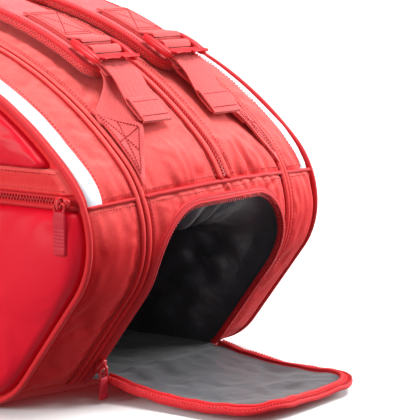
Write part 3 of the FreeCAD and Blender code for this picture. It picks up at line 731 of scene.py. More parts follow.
def arch_line(first, last, half, r, step, grow=0.0):
    """Line along an arch from its near foot over its top to its far foot, moved outward by grow.

    It gives two coordinates, along the arch's height and across it, and the outward direction in the same two.
    """
    way = math.copysign(1, last - first)
    foot = spans(first, last - way * r, step)
    turn = np.radians(spans(0, 90, math.degrees(step / r)))[1:-1]
    across = spans(-half + r, half - r, step)
    up, out = np.sin(turn), np.cos(turn)
    bend = last - way * (r - r * up)
    h = np.concatenate([foot, bend, 0 * across + last, bend[::-1], foot[::-1]])
    y = np.concatenate([0 * foot - half, r - half - r * out, across, (half - r + r * out)[::-1], 0 * foot + half])
    nh = np.concatenate([0 * foot, way * up, 0 * across + way, way * up[::-1], 0 * foot])
    ny = np.concatenate([0 * foot - 1, -out, 0 * across, out[::-1], 0 * foot + 1])
    return h + nh * grow, y + ny * grow, nh, ny


def arch(step=3.0):
    """Edge of the opening as (s, y) and its outward directions."""
    return arch_line(S_CUT, ARCH_TOP, ARCH_HALF, ARCH_R, step)


def banded(line, profile):
    """Grid round an arch line from (distance outward, height) pairs, with its UVs."""
    h, y, nh, ny = line
    grow, high = np.array(profile, float).T
    H, Y = h[:, None] + nh[:, None] * grow, y[:, None] + ny[:, None] * grow
    return H, Y, high + 0 * H, run_of(xyz(h, y))[:, None], grow


def arch_band(name, profile, mat, wave=0.0):
    """Strip round the opening."""
    S, Y, high, *uv = banded(arch(), profile)
    return grid(name, surf(S, Y, high + wave * fbm(xyz(S, Y, 0), 16.0, 4)), mat, *uv)


# end panel: rings from the opening's edge out to the panel's own edge
s, y, ns, ny = (v[:, None] for v in arch())
far = np.minimum(np.where(np.abs(ns) > 1e-6, (s - S_SEAM) / np.maximum(-ns, 1e-6), 1e9),
                 np.where(np.abs(ny) > 1e-6, (100.0 - np.abs(y)) / np.maximum(np.abs(ny), 1e-6), 1e9))
rings = np.linspace(0, 1, 9)
S, Y, d = s + ns * far * rings, y + ny * far * rings, far * (1 - rings)
H = 1.6 * (1 - np.exp(-d / 4)) - 1.8 * np.exp(-d / 1.5) + puckers(S, Y, 20.0, 1.3) * (1 - np.exp(-d / 3))
end_panel = grid("shoe_end_cloth", surf(S, Y, H + 0.7 * fbm(xyz(S, Y, 0), 30.0, 6)), CORAL, S, Y)
subdivide(end_panel)
done(end_panel, "bag", "coral_polyester", "shoe_end_panel")

done(arch_band("opening_binding", [(7.4, -0.4), (7.2, 1.6), (6.2, 2.9), (4.6, 3.6), (3.0, 3.5), (2.0, 2.8), (1.6, 1.9)],
               PIPING, 0.25), "bag", "piping_tape")
done(arch_band("opening_zip_tape", [(3.6, 2.0), (2.2, 1.6), (0.2, 1.2), (-0.6, 0.2), (-0.8, -1.6)], ZIPTAPE),
     "bag", "zip_tape", "shoe_opening_zip")
s, y, ns, ny = arch(2.0)
cord("opening_rim", surf(s + ns * 1.9, y + ny * 1.9, 2.6), 1.3, "bag")
zip_teeth("opening_coil", surf(s + ns * 0.2, y + ny * 0.2, 1.2), outward, "bag", 2.4)
stitches("opening_stitching", [surf(s + ns * 5.4, y + ny * 5.4, 3.6)], outward, "bag", 3.4, 2.2, 0.6, SOFT_THREAD)

HINGE = np.array([CORNER_X + CROWN / math.sin(FLANK) + math.sqrt(CORNER_R**2 - (CORNER_R - BASE_SEAM_Z)**2), 0,
                  BASE_SEAM_Z])
FLAP_L, FLAP_R, FLAP_END_Z = 169.5, 450.0, 5.5
DIP = math.radians(90) + math.asin((BASE_SEAM_Z - FLAP_END_Z) / FLAP_L)


def ring_faces(n, m):
    """Quads between n neighbouring lines of m points each, joined round to the first."""
    i, j = table(np.arange(n), np.arange(m - 1))
    k = (i + 1) % n
    return xyz(i * m + j, k * m + j, k * m + j + 1, i * m + j + 1).reshape(-1, 4)


def tunnel():
    """Crumpled satin lining of the shoe pocket, from the opening's edge to its back wall."""
    s, y, ns, ny = arch(4.0)
    rim = surf(s + ns * -0.6, y + ny * -0.6, -0.8)
    hinge = xyz(HINGE[0] + 2.0, spans(ARCH_HALF - 1, -ARCH_HALF + 1, 5)[1:-1], 17.7)
    ring = np.concatenate([rim, hinge])[:, None]
    back = ring * [0, 1, 1] - [56.0, 0, 0]
    depth = np.concatenate([[0, 0.012, 0.03], np.linspace(0.06, 1, 44)])
    pts = ring * (1 - depth)[:, None] + back * depth[:, None]
    inward = unit(xyz(0, -pts[..., 1], 88.0 - pts[..., 2]))
    big, sharp = fbm(pts, 46.0, 11), 1 - np.abs(fbm(pts, 30.0, 12, 2)) * 2.4
    roof, floor = smooth((pts[..., 2] - 120) / 45), smooth((40 - pts[..., 2]) / 20)
    move = 3.4 * big + 3.6 * np.clip(sharp, -1, 1) + 8.0 * roof * smooth(depth * 6) + 2.0
    move *= np.minimum(1, depth * 14) * (1 - 0.75 * floor)
    # it flares out behind the opening's edge, and hangs in folds from the roof
    mouth = smooth(depth * 90) * (1 - smooth((depth - 0.07) * 12)) * (1 - floor)
    move = move * (1 - mouth) - 4.0 * mouth
    hang = roof * smooth((depth - 0.05) / 0.05) * (1 - 0.75 * smooth((depth - 0.16) / 0.25))
    folds = np.sin(pts[..., 1] / 4.8 + 3.0 * fbm(pts, 60.0, 14, 2))
    move += hang * (15.0 + 6.0 * folds + 3.0 * fbm(pts, 16.0, 15, 2))
    pts = pts + inward * move[..., None]
    n, m = move.shape
    faces = ring_faces(n, m)[:, [0, 3, 2, 1]].tolist() + [[q * m + m - 1 for q in range(n)]]
    obj = add("shoe_pocket_lining", pts, faces, LINING, xyz(np.arange(n)[:, None] * 4.0, depth * 300.0))
    subdivide(obj)
    done(obj, "bag", "grey_lining", "shoe_tunnel_floor_board", "shoe_tunnel_roof", "shoe_tunnel_side_walls",
         "shoe_tunnel_back_wall")


tunnel()

# shoe flap, folded down onto the ground


def flap_point(f, y, h):
    """Point of the open flap: f along it from the hinge, y across, h above its outer cloth."""
    f, y, h = np.broadcast_arrays(np.asarray(f, float), y, h)
    half = math.asin(FLAP_L / 2 / FLAP_R)
    a = DIP + math.pi / 2 + half - 2 * half * f / FLAP_L
    sin, cos, middle = math.sin(DIP), math.cos(DIP), FLAP_R * math.cos(half)
    x = HINGE[0] + FLAP_L / 2 * sin - middle * cos + (FLAP_R - h) * np.sin(a)
    z = HINGE[2] + FLAP_L / 2 * cos + middle * sin + (FLAP_R - h) * np.cos(a)
    edge = smooth((np.hypot(np.maximum(f - 60, 0) / 110, y / 92) - 0.62) / 0.4)
    lift = xyz(f, y, 0)
    lift = (0.5 + 0.5 * fbm(lift, 62.0, 21)) * 5.5 + 1.1 * fbm(lift, 19.0, 22, 2)
    return xyz(x, y, np.maximum(z + edge * np.maximum(lift, 0), 0.5 + h))


def flap_arch(step=3.0, grow=0.0, start=6.0):
    """Outline of the flap as (f, y) and its outward directions."""
    return arch_line(start, FLAP_L - 0.8, 88.8, 50.0, step, grow)


def on_flap(obj, slot, *nodes):
    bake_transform(obj)
    labelled(obj, slot, *nodes)


def flap_sheet(name, h, mat, inset, relief, flip, slot, node, start):
    """Sheet over the whole flap, as rings from its outline to a line down its middle. It drops to the hinge."""
    f, y, nf, ny = (v[:, None] for v in flap_arch(3.0, -inset, start))
    w = np.concatenate([[0, 0.01, 0.03], np.linspace(0.06, 1, 26)])
    F, Y = f * (1 - w) + np.clip(f, start + 2, 120) * w, y * (1 - w)
    low = max(h - 2.6, 0) * (1 - smooth((F - 1) / 12))
    obj = grid(name, flap_point(F, Y, h + relief(F, Y, np.hypot(F - f, Y - y)) - low), mat, F, Y, flip)
    subdivide(obj)
    on_flap(obj, slot, node)


def crumple(F, Y, d):
    at = xyz(F, Y, 0)
    folds = 1.2 * fbm(at, 40.0, 31) + 1.5 * (1 - 2 * np.abs(fbm(at, 34.0, 33, 2)))
    return folds * (1 - np.exp(-d / 9)) - 1.5 * np.exp(-d / 2)


flap_sheet("flap_outer_cloth", 0.4, CORAL, 0.5, lambda F, Y, d: 0, False, "coral_polyester", "shoe_flap", 0.5)
flap_sheet("flap_lining", 5.2, LINING, 9.5, crumple, True, "grey_lining", "shoe_flap_lining", -1.5)
TAPE = [(-11.5, 3.4), (-11.0, 4.9), (-9.5, 5.6), (-5.0, 5.8), (-2.0, 5.2), (-0.4, 4.2), (0.2, 2.6), (-0.4, 0.6)]
F, Y, high, *uv = banded(flap_arch(2.5), TAPE)
on_flap(grid("flap_zip_tape", flap_point(F, Y, high), ZIPTAPE, *uv), "zip_tape", "shoe_flap_zip")
f, y, nf, ny = flap_arch(2.5)
rim = flap_point(f - nf * 9.0, y - ny * 9.0, 6.3)
on_flap(sweep("flap_inner_rim", rim, (0, 0, 1), circle(1.6), PIPING), "piping_tape")
zip_teeth("flap_coil", flap_point(f - nf * 2.2, y - ny * 2.2, 5.4), (0, 0, 1), "shoe_flap_body", 2.4)

# ------------------------------------------------------------ racket covers

COVER_Y = 163.5


def inset_path(s, side, low, y, sgn):
    """Line on the cover's face: side mm inside the outline at the ends and low mm above the ground."""
    w = smooth((np.abs(s) - L4) / (L5 - L4))
    p = surf(s, 160.0, -((side - 9.0) * (1 - w) + low * w))
    p[..., 1] = sgn * y
    return p


def dome(name, rim, depth, edge, crown_mm, line, z_mid, sgn, mat, slot, nodes=(), sim=True):
    """Foam panel of a cover: rings from its rim to a line down its middle, with a rounded edge and a crowned face."""
    mid = xyz(np.clip(rim[:, 0], -line, line), rim[:, 1], z_mid)
    reach = np.linalg.norm(mid - rim, axis=1)
    dist = np.concatenate([[0, 0.7, 1.8, 3.2, 5, 7.5, 11, 15, 20], np.arange(27, reach.max(), 8), [reach.max()]])
    w = np.clip(dist / reach[:, None], 0, 1)
    pts = rim[:, None] * (1 - w[..., None]) + mid[:, None] * w[..., None]
    d = w * reach[:, None]
    t = np.clip(d / edge, 0, 1)
    h = depth * np.sqrt(np.maximum(0, 1 - (1 - t)**2)) + crown_mm * (1 - np.exp(-d / 55))
    if sim:
        h = h + 0.7 * fbm(pts, 120.0, 41, 2) * (1 - np.exp(-d / 20))
    pts[..., 1] += sgn * h
    obj = add(name, pts, ring_faces(*d.shape), mat, pts[..., [0, 2]])
    outwards(obj, 0.0004, sgn)
    if sim:
        near = np.array([v.co.y * 1000 * sgn for v in obj.data.vertices])
        settle(obj, np.where(near < 163.4 + depth * 0.9, 1.0, 0.04), 2.5, 2.5, 0.004)
    subdivide(obj)
    done(obj, "rear_cover" if rim[0, 1] > 0 else "front_cover", slot, *nodes)


def x_limit(z, side=13.0):
    """Half length of a cover's face at a height above its widest line."""
    return SHOULDER_X + math.sqrt((SHOULDER_R - side)**2 - (z - WIDE_Z)**2)


def cover_rim(z0, z1, sgn, side=13.4):
    """Closed rim inside the piping between two heights, with soft corners."""
    pts = inset_path(spans(-L6, L6, 5), side, 7.5, COVER_Y, sgn)
    pts = pts[(pts[:, 2] >= z0) & (pts[:, 2] <= z1)]
    if z1 < 300:
        x = x_limit(z1, side)
        pts = np.concatenate([xyz(spans(-x, x, 6), sgn * COVER_Y, z1), pts[pts[:, 0] > 0], pts[pts[:, 0] <= 0]])
    elif z0 > 20:
        x = x_limit(z0, side)
        pts = np.concatenate([pts, xyz(spans(x, -x, 6), sgn * COVER_Y, z0)])
    pts = pts[np.linalg.norm(pts - np.roll(pts, 1, 0), axis=1) > 1.0]
    for _ in range(3):
        pts = (np.roll(pts, 1, 0) + 2 * pts + np.roll(pts, -1, 0)) / 4
    return pts


def cover(side, sgn):
    body = f"{side}_cover"
    flank = sorted((sgn * 109, sgn * 166))
    for part, s0, s1, nodes in (("upper", -S_SEAM, S_SEAM, ["band_upper"]), ("lower", S_SEAM, S_CUT, ["band_lower"]),
                                ("lower_plain_end", -S_CUT, -S_SEAM, [])):
        s = spans(s0, s1, 4)
        y = np.sort(np.concatenate([spans(109, 160, 4), [161.6, 162.8, COVER_Y]]) * sgn)
        relief = panel_relief(s0, s1, *flank, 1.2, 7 + sgn, 0.6)

        def bent(S, Y):
            """Its edge turns in under the piping."""
            over = np.clip(np.abs(Y) - 160, 0, 4)
            return np.where(over > 0, 0.5 - over**1.6, relief(S, Y))
        obj = patch(f"{side}_band_{part}", s, y, bent, CORAL)
        pins = edge_pins(len(s), len(y))
        pins[np.tile(np.abs(y) > (136 if part == "upper" else 156), len(s))] = 1
        settle(obj, pins, 1.0, 1.6, 0.03)
        subdivide(obj)
        done(obj, body, "coral_polyester", *[f"{side}_{n}" for n in nodes])
        done(patch(f"{side}_band_{part}_lining", spans(s0, s1, 10), np.linspace(*sorted((sgn * 106, sgn * 160)), 8),
                   lambda S, Y: 0 * S - 5.0, LINING, flip=True), body, "grey_lining")
    under = panel_relief(-S_SEAM, S_SEAM, *flank, 1.2, 7 + sgn, 0.6)
    ys = np.array([143.6, 144.0, 147, 151, 155, 158.4, 159.0]) * sgn
    stripe = patch(f"{side}_stripe", spans(-S_SEAM + 1, S_SEAM - 1, 4), np.sort(ys), lambda S, Y: under(S, Y) + 0.7
                   - 1.3 * (np.abs(np.abs(Y) - 151.3) / 7.9)**8 + 0.2 * fbm(xyz(S, Y, 0), 22.0, 8), REFLECTIVE)
    done(stripe, body, "reflective_tape", f"{side}_reflective_stripe")
    seam_lip(f"{side}_side_zip_cover_lip", sgn * 108.1, S_CUT, body, nodes=[f"{side}_side_zip_cover_half"])
    rows = [surf(spans(-S_CUT + 3, S_CUT - 3, 4), sgn * 113.2, 2.0),
            surf(spans(-S_SEAM + 3, S_SEAM - 3, 4), sgn * 142.4, 2.1)]
    for end in (1, -1):
        rows += [surf(end * (S_SEAM + 5), spans(sgn * 113, sgn * 158, 4), 2.0),
                 surf(end * (S_SEAM - 5), spans(sgn * 113, sgn * 141, 4), 2.0)]
        cord(f"{side}_seam_cord_{(end + 1) // 2}", surf(end * S_SEAM, spans(sgn * 106, sgn * 161, 4), 0.9), 1.5, body)
    stitches(f"{side}_band_stitching", rows, outward, body, mat=SOFT_THREAD)
    s = spans(-L6, L6, 4)[:-1]
    cord(f"{side}_piping_cord", inset_path(s, 9.6, 3.0, 164.6, sgn), 2.7, body, f"{side}_piping", n=10, up=(0, -1, 0),
         closed=True)
    dome(f"{side}_backing_cloth", inset_path(s, 10.5, 1.6, 163.6, sgn), 0.2, 4, 0.0, 190, 150, sgn, CORAL,
         "coral_polyester", [f"{side}_backing_panel"], sim=False)
    dome(f"{side}_backing_lining", inset_path(s, 10.5, 1.6, 160.4, sgn), 0.0, 4, 0.0, 190, 150, -sgn, LINING,
         "grey_lining", sim=False)


cover("front", -1)
cover("rear", 1)
dome("front_lower_panel", cover_rim(-5, 175.5, -1), 13.0, 15.0, 4.5, 195, 92, -1, FILM, "gloss_film",
     ["front_lower_pad"])
dome("front_upper_panel", cover_rim(206.5, 400, -1, 16.5), 10.0, 9.0, 3.0, 130, 232, -1, FILM, "gloss_film",
     ["front_upper_pad"])
dome("rear_panel", cover_rim(-5, 400, 1, 14.5), 12.5, 14.0, 3.5, 190, 140, 1, CORAL, "coral_polyester", ["rear_pad"])


def strip(name, profile, mat, slot, nodes=(), wave=0.3):
    """Strip across the front between two heights. profile is (-y, z) pairs, each as long as the cover is there."""
    t = np.linspace(-1, 1, 130)[:, None]
    X = t * np.array([x_limit(z, 10.6) for _, z in profile])
    high, z = np.array(profile, float).T
    # the ends dip to the piping
    high = high - (high - 162.6) * smooth((np.abs(t) - 0.968) / 0.032)
    Z = z + wave * fbm(xyz(X, 0, 0), 40.0, 51, 2)
    done(grid(name, xyz(X, -high, Z), mat, X, Z), "front_cover", slot, *nodes)


strip("pocket_placket", [(163.6, 206.8), (167.5, 206.6), (169.6, 205.2), (170.2, 202), (170.4, 196), (170.6, 191),
                         (171.4, 188.6), (171.2, 187.0), (169.0, 186.6)],
      CORAL, "coral_polyester", ["front_pocket_strip"])
strip("pocket_zip_tape", [(168.2, 188), (169.0, 186), (169.6, 183.5), (169.6, 180.5), (169.0, 178), (168.0, 176)],
      ZIPTAPE, "zip_tape", ["front_pocket_zip"], 0.0)
strip("pocket_lower_lip", [(168.0, 178.6), (170.6, 178.9), (171.6, 177.9), (171.4, 176.4), (169.6, 175.2),
                           (166, 174.8)], PIPING, "piping_tape")
zip_teeth("pocket_coil", xyz(spans(-266, 266, 4), -170.6, 182.3), (0, -1, 0), "front_cover", 3.4)
rows = [np.array([(way * (x_limit(z) - 3), -170.7, z) for way in (-1, 1)]) for z in (203.4, 190.6)]
stitches("pocket_stitching", rows, (0, -1, 0), "front_cover")

# ------------------------------------------------------------ shoulder straps

PAD_R = TOP_R + 17


def web_sweep(name, path, w, h, y_mid):
    """Webbing along a path, with UVs along it and across its width."""
    obj = sweep(name, path, (0, 0, 1), rounded(w, h, 0.8), WEBBING)
    run, m = run_of(path) / 1000, len(obj.data.vertices) // len(path)
    for loop, uv in zip(obj.data.loops, obj.data.uv_layers[0].data):
        uv.uv = (run[loop.vertex_index // m], obj.data.vertices[loop.vertex_index].co.y - y_mid / 1000)
    return obj


def strap_pad(side, sgn, body, y_mid):
    mid_angle, half_u, half_v, r = -1.25, math.radians(34.75) * PAD_R, 29.0, 15.0

    # its rim, counter-clockwise in (u, v), and the outward directions
    rim, nrm = [], []
    for cu, cv, a0 in ((half_u - r, half_v - r, 0), (r - half_u, half_v - r, 90), (r - half_u, r - half_v, 180),
                       (half_u - r, r - half_v, 270)):
        for a in np.radians(a0 + spans(0, 90, 15)):
            rim.append((cu + r * math.cos(a), cv + r * math.sin(a)))
            nrm.append((math.cos(a), math.sin(a)))
        su, sv = math.copysign(1, cu), math.copysign(1, cv)
        if a0 in (0, 180):
            us = spans(cu, -cu, 5)[1:-1]
            rim += [(u, sv * half_v) for u in us]
            nrm += [(0, sv)] * len(us)
        else:
            vs = spans(cv, -cv, 5)[1:-1]
            rim += [(su * half_u, v) for v in vs]
            nrm += [(su, 0)] * len(vs)
    rim, nrm = np.array(rim), np.array(nrm)
    mid = xyz(np.clip(rim[:, 0], -half_u + half_v, half_u - half_v), 0)
    reach = np.linalg.norm(mid - rim, axis=1)
    # distance inside the rim, height over the arc, material: underside, sides, binding, top
    rows = [(99, 11.6, 2), (14, 11.4, 2), (5, 11.2, 2), (1.6, 11.8, 2), (0.2, 13.4, 2), (-0.5, 15.8, 2),
            (-0.2, 18.0, 2), (0.2, 18.8, 1), (-1.3, 19.3, 1), (-1.9, 20.8, 1), (-1.1, 22.3, 1), (0.8, 22.9, 1),
            (3.0, 22.6, 1), (3.6, 21.8, 0), (4.6, 22.5, 0), (8, 23.7, 0), (13, 24.6, 0), (20, 25.1, 0), (99, 25.3, 0)]
    pts, uvs, girth, run = [], [], 0.0, run_of(rim)
    for k, (d, off, kind) in enumerate(rows):
        if k:
            girth += math.hypot(min(d, 29) - min(rows[k - 1][0], 29), off - rows[k - 1][1])
        inside = rim + (mid - rim) * np.clip(d / reach, 0, 1)[:, None]
        q = inside if d >= 0 else rim - nrm * d
        u, v = q.T
        angle = mid_angle + np.degrees(u / PAD_R)
        # the top lies flat under the sewn webbing, sags a little before it and has shallow cross folds
        flat = smooth((angle - 15.5) / 4.5)
        high = off * (1 - flat) + np.minimum(off, 22.9) * flat if off > 22.6 else off
        if off > 23:
            high = high + 0.5 * fbm(xyz(u, v * 0.4 + 100 * sgn, 0), 38.0, 61, 2) * (1 - flat)
        wander = 0.9 * fbm(xyz(u, 0, sgn * 40), 90.0, 62, 2)
        pts.append(arc_point(angle, high, y_mid + v + wander))
        uvs.append(q if kind == 0 or d > 4 else xyz(run, girth))
    kinds = [row[2] for row in rows]
    face_mats = np.repeat([b if b == 0 else a for a, b in zip(kinds, kinds[1:])], len(rim))
    pad = add(f"{side}_strap_pad_cover", pts, grid_faces(len(rows), len(rim), wrap=True), [CORAL_PAD, BINDING, MESH],
              uvs, face_mats)
    outwards(pad, 0.0003)
    co = np.array([v.co for v in pad.data.vertices]) * 1000
    off = np.hypot(co[:, 0], co[:, 2] - ARC_Z) - TOP_R
    angle = np.degrees(np.arctan2(co[:, 0], co[:, 2] - ARC_Z))
    settle(pad, np.where((off < 23.2) | (angle > 17), 1.0, 0.05), 1.5, 1.6, 0.02)
    subdivide(pad)
    done(pad, body, "coral_polyester", f"{side}_strap_pad")
    rail = rim - nrm * 2.2
    rail = np.concatenate([rail, rail[:1]])
    row = arc_point(mid_angle + np.degrees(rail[:, 0] / PAD_R), 23.0, y_mid + rail[:, 1])
    stitches(f"{side}_strap_binding_stitching", [row], over_arc, body, 3.2, 2.0, 0.6)


def ladder_buckle(side, body, b):
    parts = []
    for v in (-24.4, 24.4):
        u, w, bow, size = np.array([(-18.5, 2.2, -1.4, 0.5), (-16.5, 2.4, -0.6, 0.86), (-11, 2.8, 0.2, 1),
                                    (-4, 3.4, 0.6, 1.08), (3, 3.8, 0.7, 1.1), (10, 3.8, 0.5, 1.05),
                                    (15, 4.2, 0.2, 0.92), (18.5, 4.8, -0.4, 0.5)]).T
        path = xyz(u, v + math.copysign(1, v) * bow, w)
        parts.append(sweep("rail", b(path), b.w, rounded(7.2, 6.4, 2.4) * size[:, None, None], BUCKLE))
    for u, w, prof in ((-14, 2.5, circle(2.5, 12)), (-1.0, 2.8, circle(2.3, 12)), (10.0, 3.6, rounded(5.0, 4.4, 1.8))):
        parts.append(sweep("bar", b(xyz(u, np.linspace(-24, 24, 17), w)), b.w, prof, BUCKLE))
    # thumb lip: a turned-up plate whose edge runs in a soft wave with a notch in the middle
    v = np.linspace(-25.5, 25.5, 69)[:, None]
    wave = np.cos(v / 25.5 * 2 * math.pi)
    edge = 19.6 + 1.5 * wave - 3.4 * np.exp(-(v / 2.4)**2) - 3.0 * smooth((np.abs(v) - 22) / 3.5)
    out, up = np.array([(0, 3.6), (0.12, 5.6), (0.45, 7.1), (0.75, 7.9), (0.97, 9.0), (1.04, 8.8), (1.0, 7.6),
                        (0.75, 5.6), (0.4, 3.6), (0.1, 2.2)]).T
    start, m = 7.6, len(out)
    pts = xyz(start + (edge - start) * out, v, 0.7 * wave * out + up)
    faces = grid_faces(len(v), m, wrap=True).tolist()
    faces += [list(range(m)), list(range((len(v) - 1) * m, len(v) * m))]
    parts.append(add("lip", b(pts), faces, BUCKLE, np.zeros((len(v) * m, 2))))
    buckle = outwards(join(f"{side}_ladder_buckle", parts))
    subdivide(buckle)
    done(buckle, body, "buckle_plastic", f"{side}_buckle")


def anchor_webbing(side, sgn):
    """Webbing from the wing up to the buckle."""
    # (angle, height over the arc, y) of both edges along it
    edges = np.array([((33.4, 20.6, 69), (33.4, 20.6, 31)), ((34.6, 18.6, 69.5), (34.8, 18.6, 31.5)),
                      ((35.6, 14.0, 74), (36.2, 16.0, 37)), ((36.8, 9.4, 83), (38.2, 14.2, 47)),
                      ((37.9, 6.2, 93), (40.4, 13.0, 58)), ((38.7, 3.8, 99.5), (42.6, 11.6, 68)),
                      ((40.6, 2.6, 101), (44.4, 9.6, 74))], float)
    t, v = np.linspace(0, len(edges) - 1, 25), np.linspace(0, 1, 13)
    at = np.stack([[np.interp(t, np.arange(len(edges)), edges[:, e, k]) for k in range(3)] for e in range(2)])
    at = np.apply_along_axis(lambda a: np.convolve(np.pad(a, 2, mode="edge"), np.ones(5) / 5, "valid"), 2, at)
    angle, high, y = (at[0, k][:, None] * (1 - v) + at[1, k][:, None] * v for k in range(3))
    t = t[:, None]
    high = high + 1.3 * np.sin(math.pi * v) * np.sin(math.pi * t / t[-1])
    high = high + 0.48 * np.sin(math.pi * 3 * v + 1) * smooth(t / 3)
    top, low = (arc_point(angle, high + h, y * sgn) for h in (1.8, 0))
    ring = np.concatenate([top, low[:, ::-1]], 1)
    n, m = ring.shape[:2]
    faces = grid_faces(n, m, wrap=True).tolist() + [list(range(m)), list(range((n - 1) * m, n * m))]
    uvs = xyz(run_of(top[:, 6])[:, None], np.concatenate([v, v[::-1]]) * 38)
    anchor = outwards(add(f"{side}_anchor_strap", ring, faces, WEBBING, uvs))
    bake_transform(anchor)
    labelled(anchor, "webbing", f"{side}_anchor_webbing")


def strap(side, sgn):
    body, y_mid = f"{side}_strap", 50.0 * sgn
    strap_pad(side, sgn, body, y_mid)

    # short webbing: box-stitched on the strap, folded round the buckle's rear bar
    b = on_top(31.0, 25.8, y_mid)
    a = np.radians(np.arange(-115, 136, 25))
    fold = b(xyz(-14 + 4.0 * np.cos(a), 0, 2.5 + 4.0 * np.sin(a)))
    below, above = (arc_point(np.linspace(a, c, 14), off, y_mid)
                    for a, c, off in ((20.4, 27.6, 24.0), (27.0, 19.6, 26.1)))
    path = [*below, *fold, *above[:-1], arc_point(19.4, 25.3, y_mid)]
    done(web_sweep(f"{side}_buckle_webbing", smooth_path(path, 1), 38.4, 1.9, y_mid), body, "webbing",
         f"{side}_strap_patch")
    lines = crossed_box(-17, 17, 20.3, 26.6) + [((-15.2, a), (15.2, a)) for a in (20.8, 26.1)]
    rows = [arc_point(q[:, 1], 27.15, y_mid + q[:, 0]) for q in (between(a, c, 16) for a, c in lines)]
    stitches(f"{side}_strap_patch_stitching", rows, over_arc, body, 2.6, 2.0, 0.9)
    ladder_buckle(side, body, b)

    # free webbing: round the middle bar, out under the lip and down to a sewn hem
    u, w = np.array([(25.5, -4.6), (13, -2.6), (-1, -1.8), (-5.0, -0.2), (-5.2, 3.6), (-3.4, 6.3), (0.4, 6.6),
                     (3.2, 4.6), (5.0, 1.4), (8.0, -0.4), (13.0, -0.2), (17.5, 0.6)]).T
    below = arc_point([34.9, 36.2, 37.6, 38.9, 39.3, 42.2], [26.0, 24.4, 20.6, 18.4, 17.0, 16.6], y_mid)
    path = smooth_path(np.concatenate([b(xyz(u, 0, w)), below]), 3)
    hem = arc_point([38.9, 38.7, 39.2, 41.0, 42.2, 42.8, 42.6], [18.4, 20.2, 21.0, 19.6, 19.2, 18.2, 16.8], y_mid)
    name = f"{side}_free_webbing"
    tail = join(name, [web_sweep(name, path, 38.0, 1.8, y_mid),
                       web_sweep(f"{side}_hem", smooth_path(hem, 2), 38.0, 1.7, y_mid)])
    done(tail, body, "webbing", f"{side}_webbing_tail")
    rows = [arc_point(a, o, y_mid + np.linspace(-17.5, 17.5, 12)) for a, o in ((39.7, 21.5), (42.0, 20.4))]
    stitches(f"{side}_hem_stitching", rows, over_arc, body, 2.6, 2.0, 0.8)
    anchor_webbing(side, sgn)

    # sewn wing at the side seam
    (s0, y0), (s1, _), (s2, y2) = (244.5, 99.0), (324.5, 99.0), (275.5, 68.0)
    t, w = table(np.linspace(0, 1, 22), np.linspace(0, 1, 14))
    S, Y = (s0 * (1 - t) + s1 * t) * (1 - w) + s2 * w, sgn * (y0 * (1 - w) + y2 * w)
    lift = 4.2 + 4.2 * smooth((w - 0.35) / 0.6) + 0.5 * np.sin(5 * t) * (1 - w)
    wing = grid(f"{side}_anchor_wing", surf(S, Y, lift), WEBBING, S, Y, sgn > 0)
    sewn_on(wing, 2.0)
    done(wing, "bag", "webbing", *["anchor_wings"][sgn > 0:])
    p = np.array([(252.0, 98.0), (315.0, 98.0), (276.5, 73.5)])
    lines = [(p[i], p[i - 2]) for i in range(3)] + [(p[i - 1], (p[i] + p[i - 2]) / 2) for i in range(3)]
    rows = [surf(q[:, 0], sgn * q[:, 1], 4.8 + 4.2 * smooth(((100.5 - q[:, 1]) / 32.5 - 0.35) / 0.6))
            for q in (between(a, c, 14) for a, c in lines)]
    stitches(f"{side}_wing_stitching", rows, outward, "bag", 2.8, 2.1, 1.1)

    # sewn root at the plain end
    A, Y = table(np.linspace(-43.0, -35.6, 14), np.linspace(24, 76, 16) * sgn)
    S = TOP_R * np.radians(A)
    high = 4.4 + 0.4 * np.sin(Y / 7) + 3.0 * smooth((A + 38.0) / 2.6)
    root = grid(f"{side}_strap_root", surf(S, Y, high), WEBBING, Y, S, sgn > 0)
    sewn_on(root, 2.2)
    done(root, "bag", "webbing", *["strap_root_patches"][sgn > 0:])
    rows = [surf(TOP_R * np.radians(q[:, 0]), sgn * q[:, 1], 5.0)
            for q in (between(a, c, 14) for a, c in crossed_box(-42.4, -38.6, 27, 73))]
    stitches(f"{side}_root_stitching", rows, outward, "bag", 2.8, 2.1, 0.9)


strap("near", -1)
strap("far", 1)

# ------------------------------------------------------------ end handle

END_X = HALF + crown(40) + 0.3
half_path = [(12, 24.0), (26, 21.5), (33, 9), (40, 1.6), (47, 1.2), (54, 1.2)]
y, out = smooth_path([(-a, h) for a, h in half_path[::-1]] + half_path, 2).T
path = resample(xyz(-END_X - out, y, WIDE_Z), 2.2)
grab = sweep("end_grab_handle", path, (-1, 0, 0), rounded(28.0, 3.2, 1.3), WEBBING)
for loop, uv in zip(grab.data.loops, grab.data.uv_layers[0].data):
    uv.uv = grab.data.vertices[loop.vertex_index].co.yz
done(grab, "bag", "webbing", "end_handle")
rows = [np.array([(-END_X - 3.3, sgn * a, WIDE_Z + z) for a, z in line])
        for sgn in (-1, 1) for line in crossed_box(42, 52, -11, 11)]
stitches("handle_stitching", rows, (-1, 0, 0), "bag", 2.8, 2.1, 0.9)

# ------------------------------------------------------------ sliders and pullers

PIVOT = 6.4


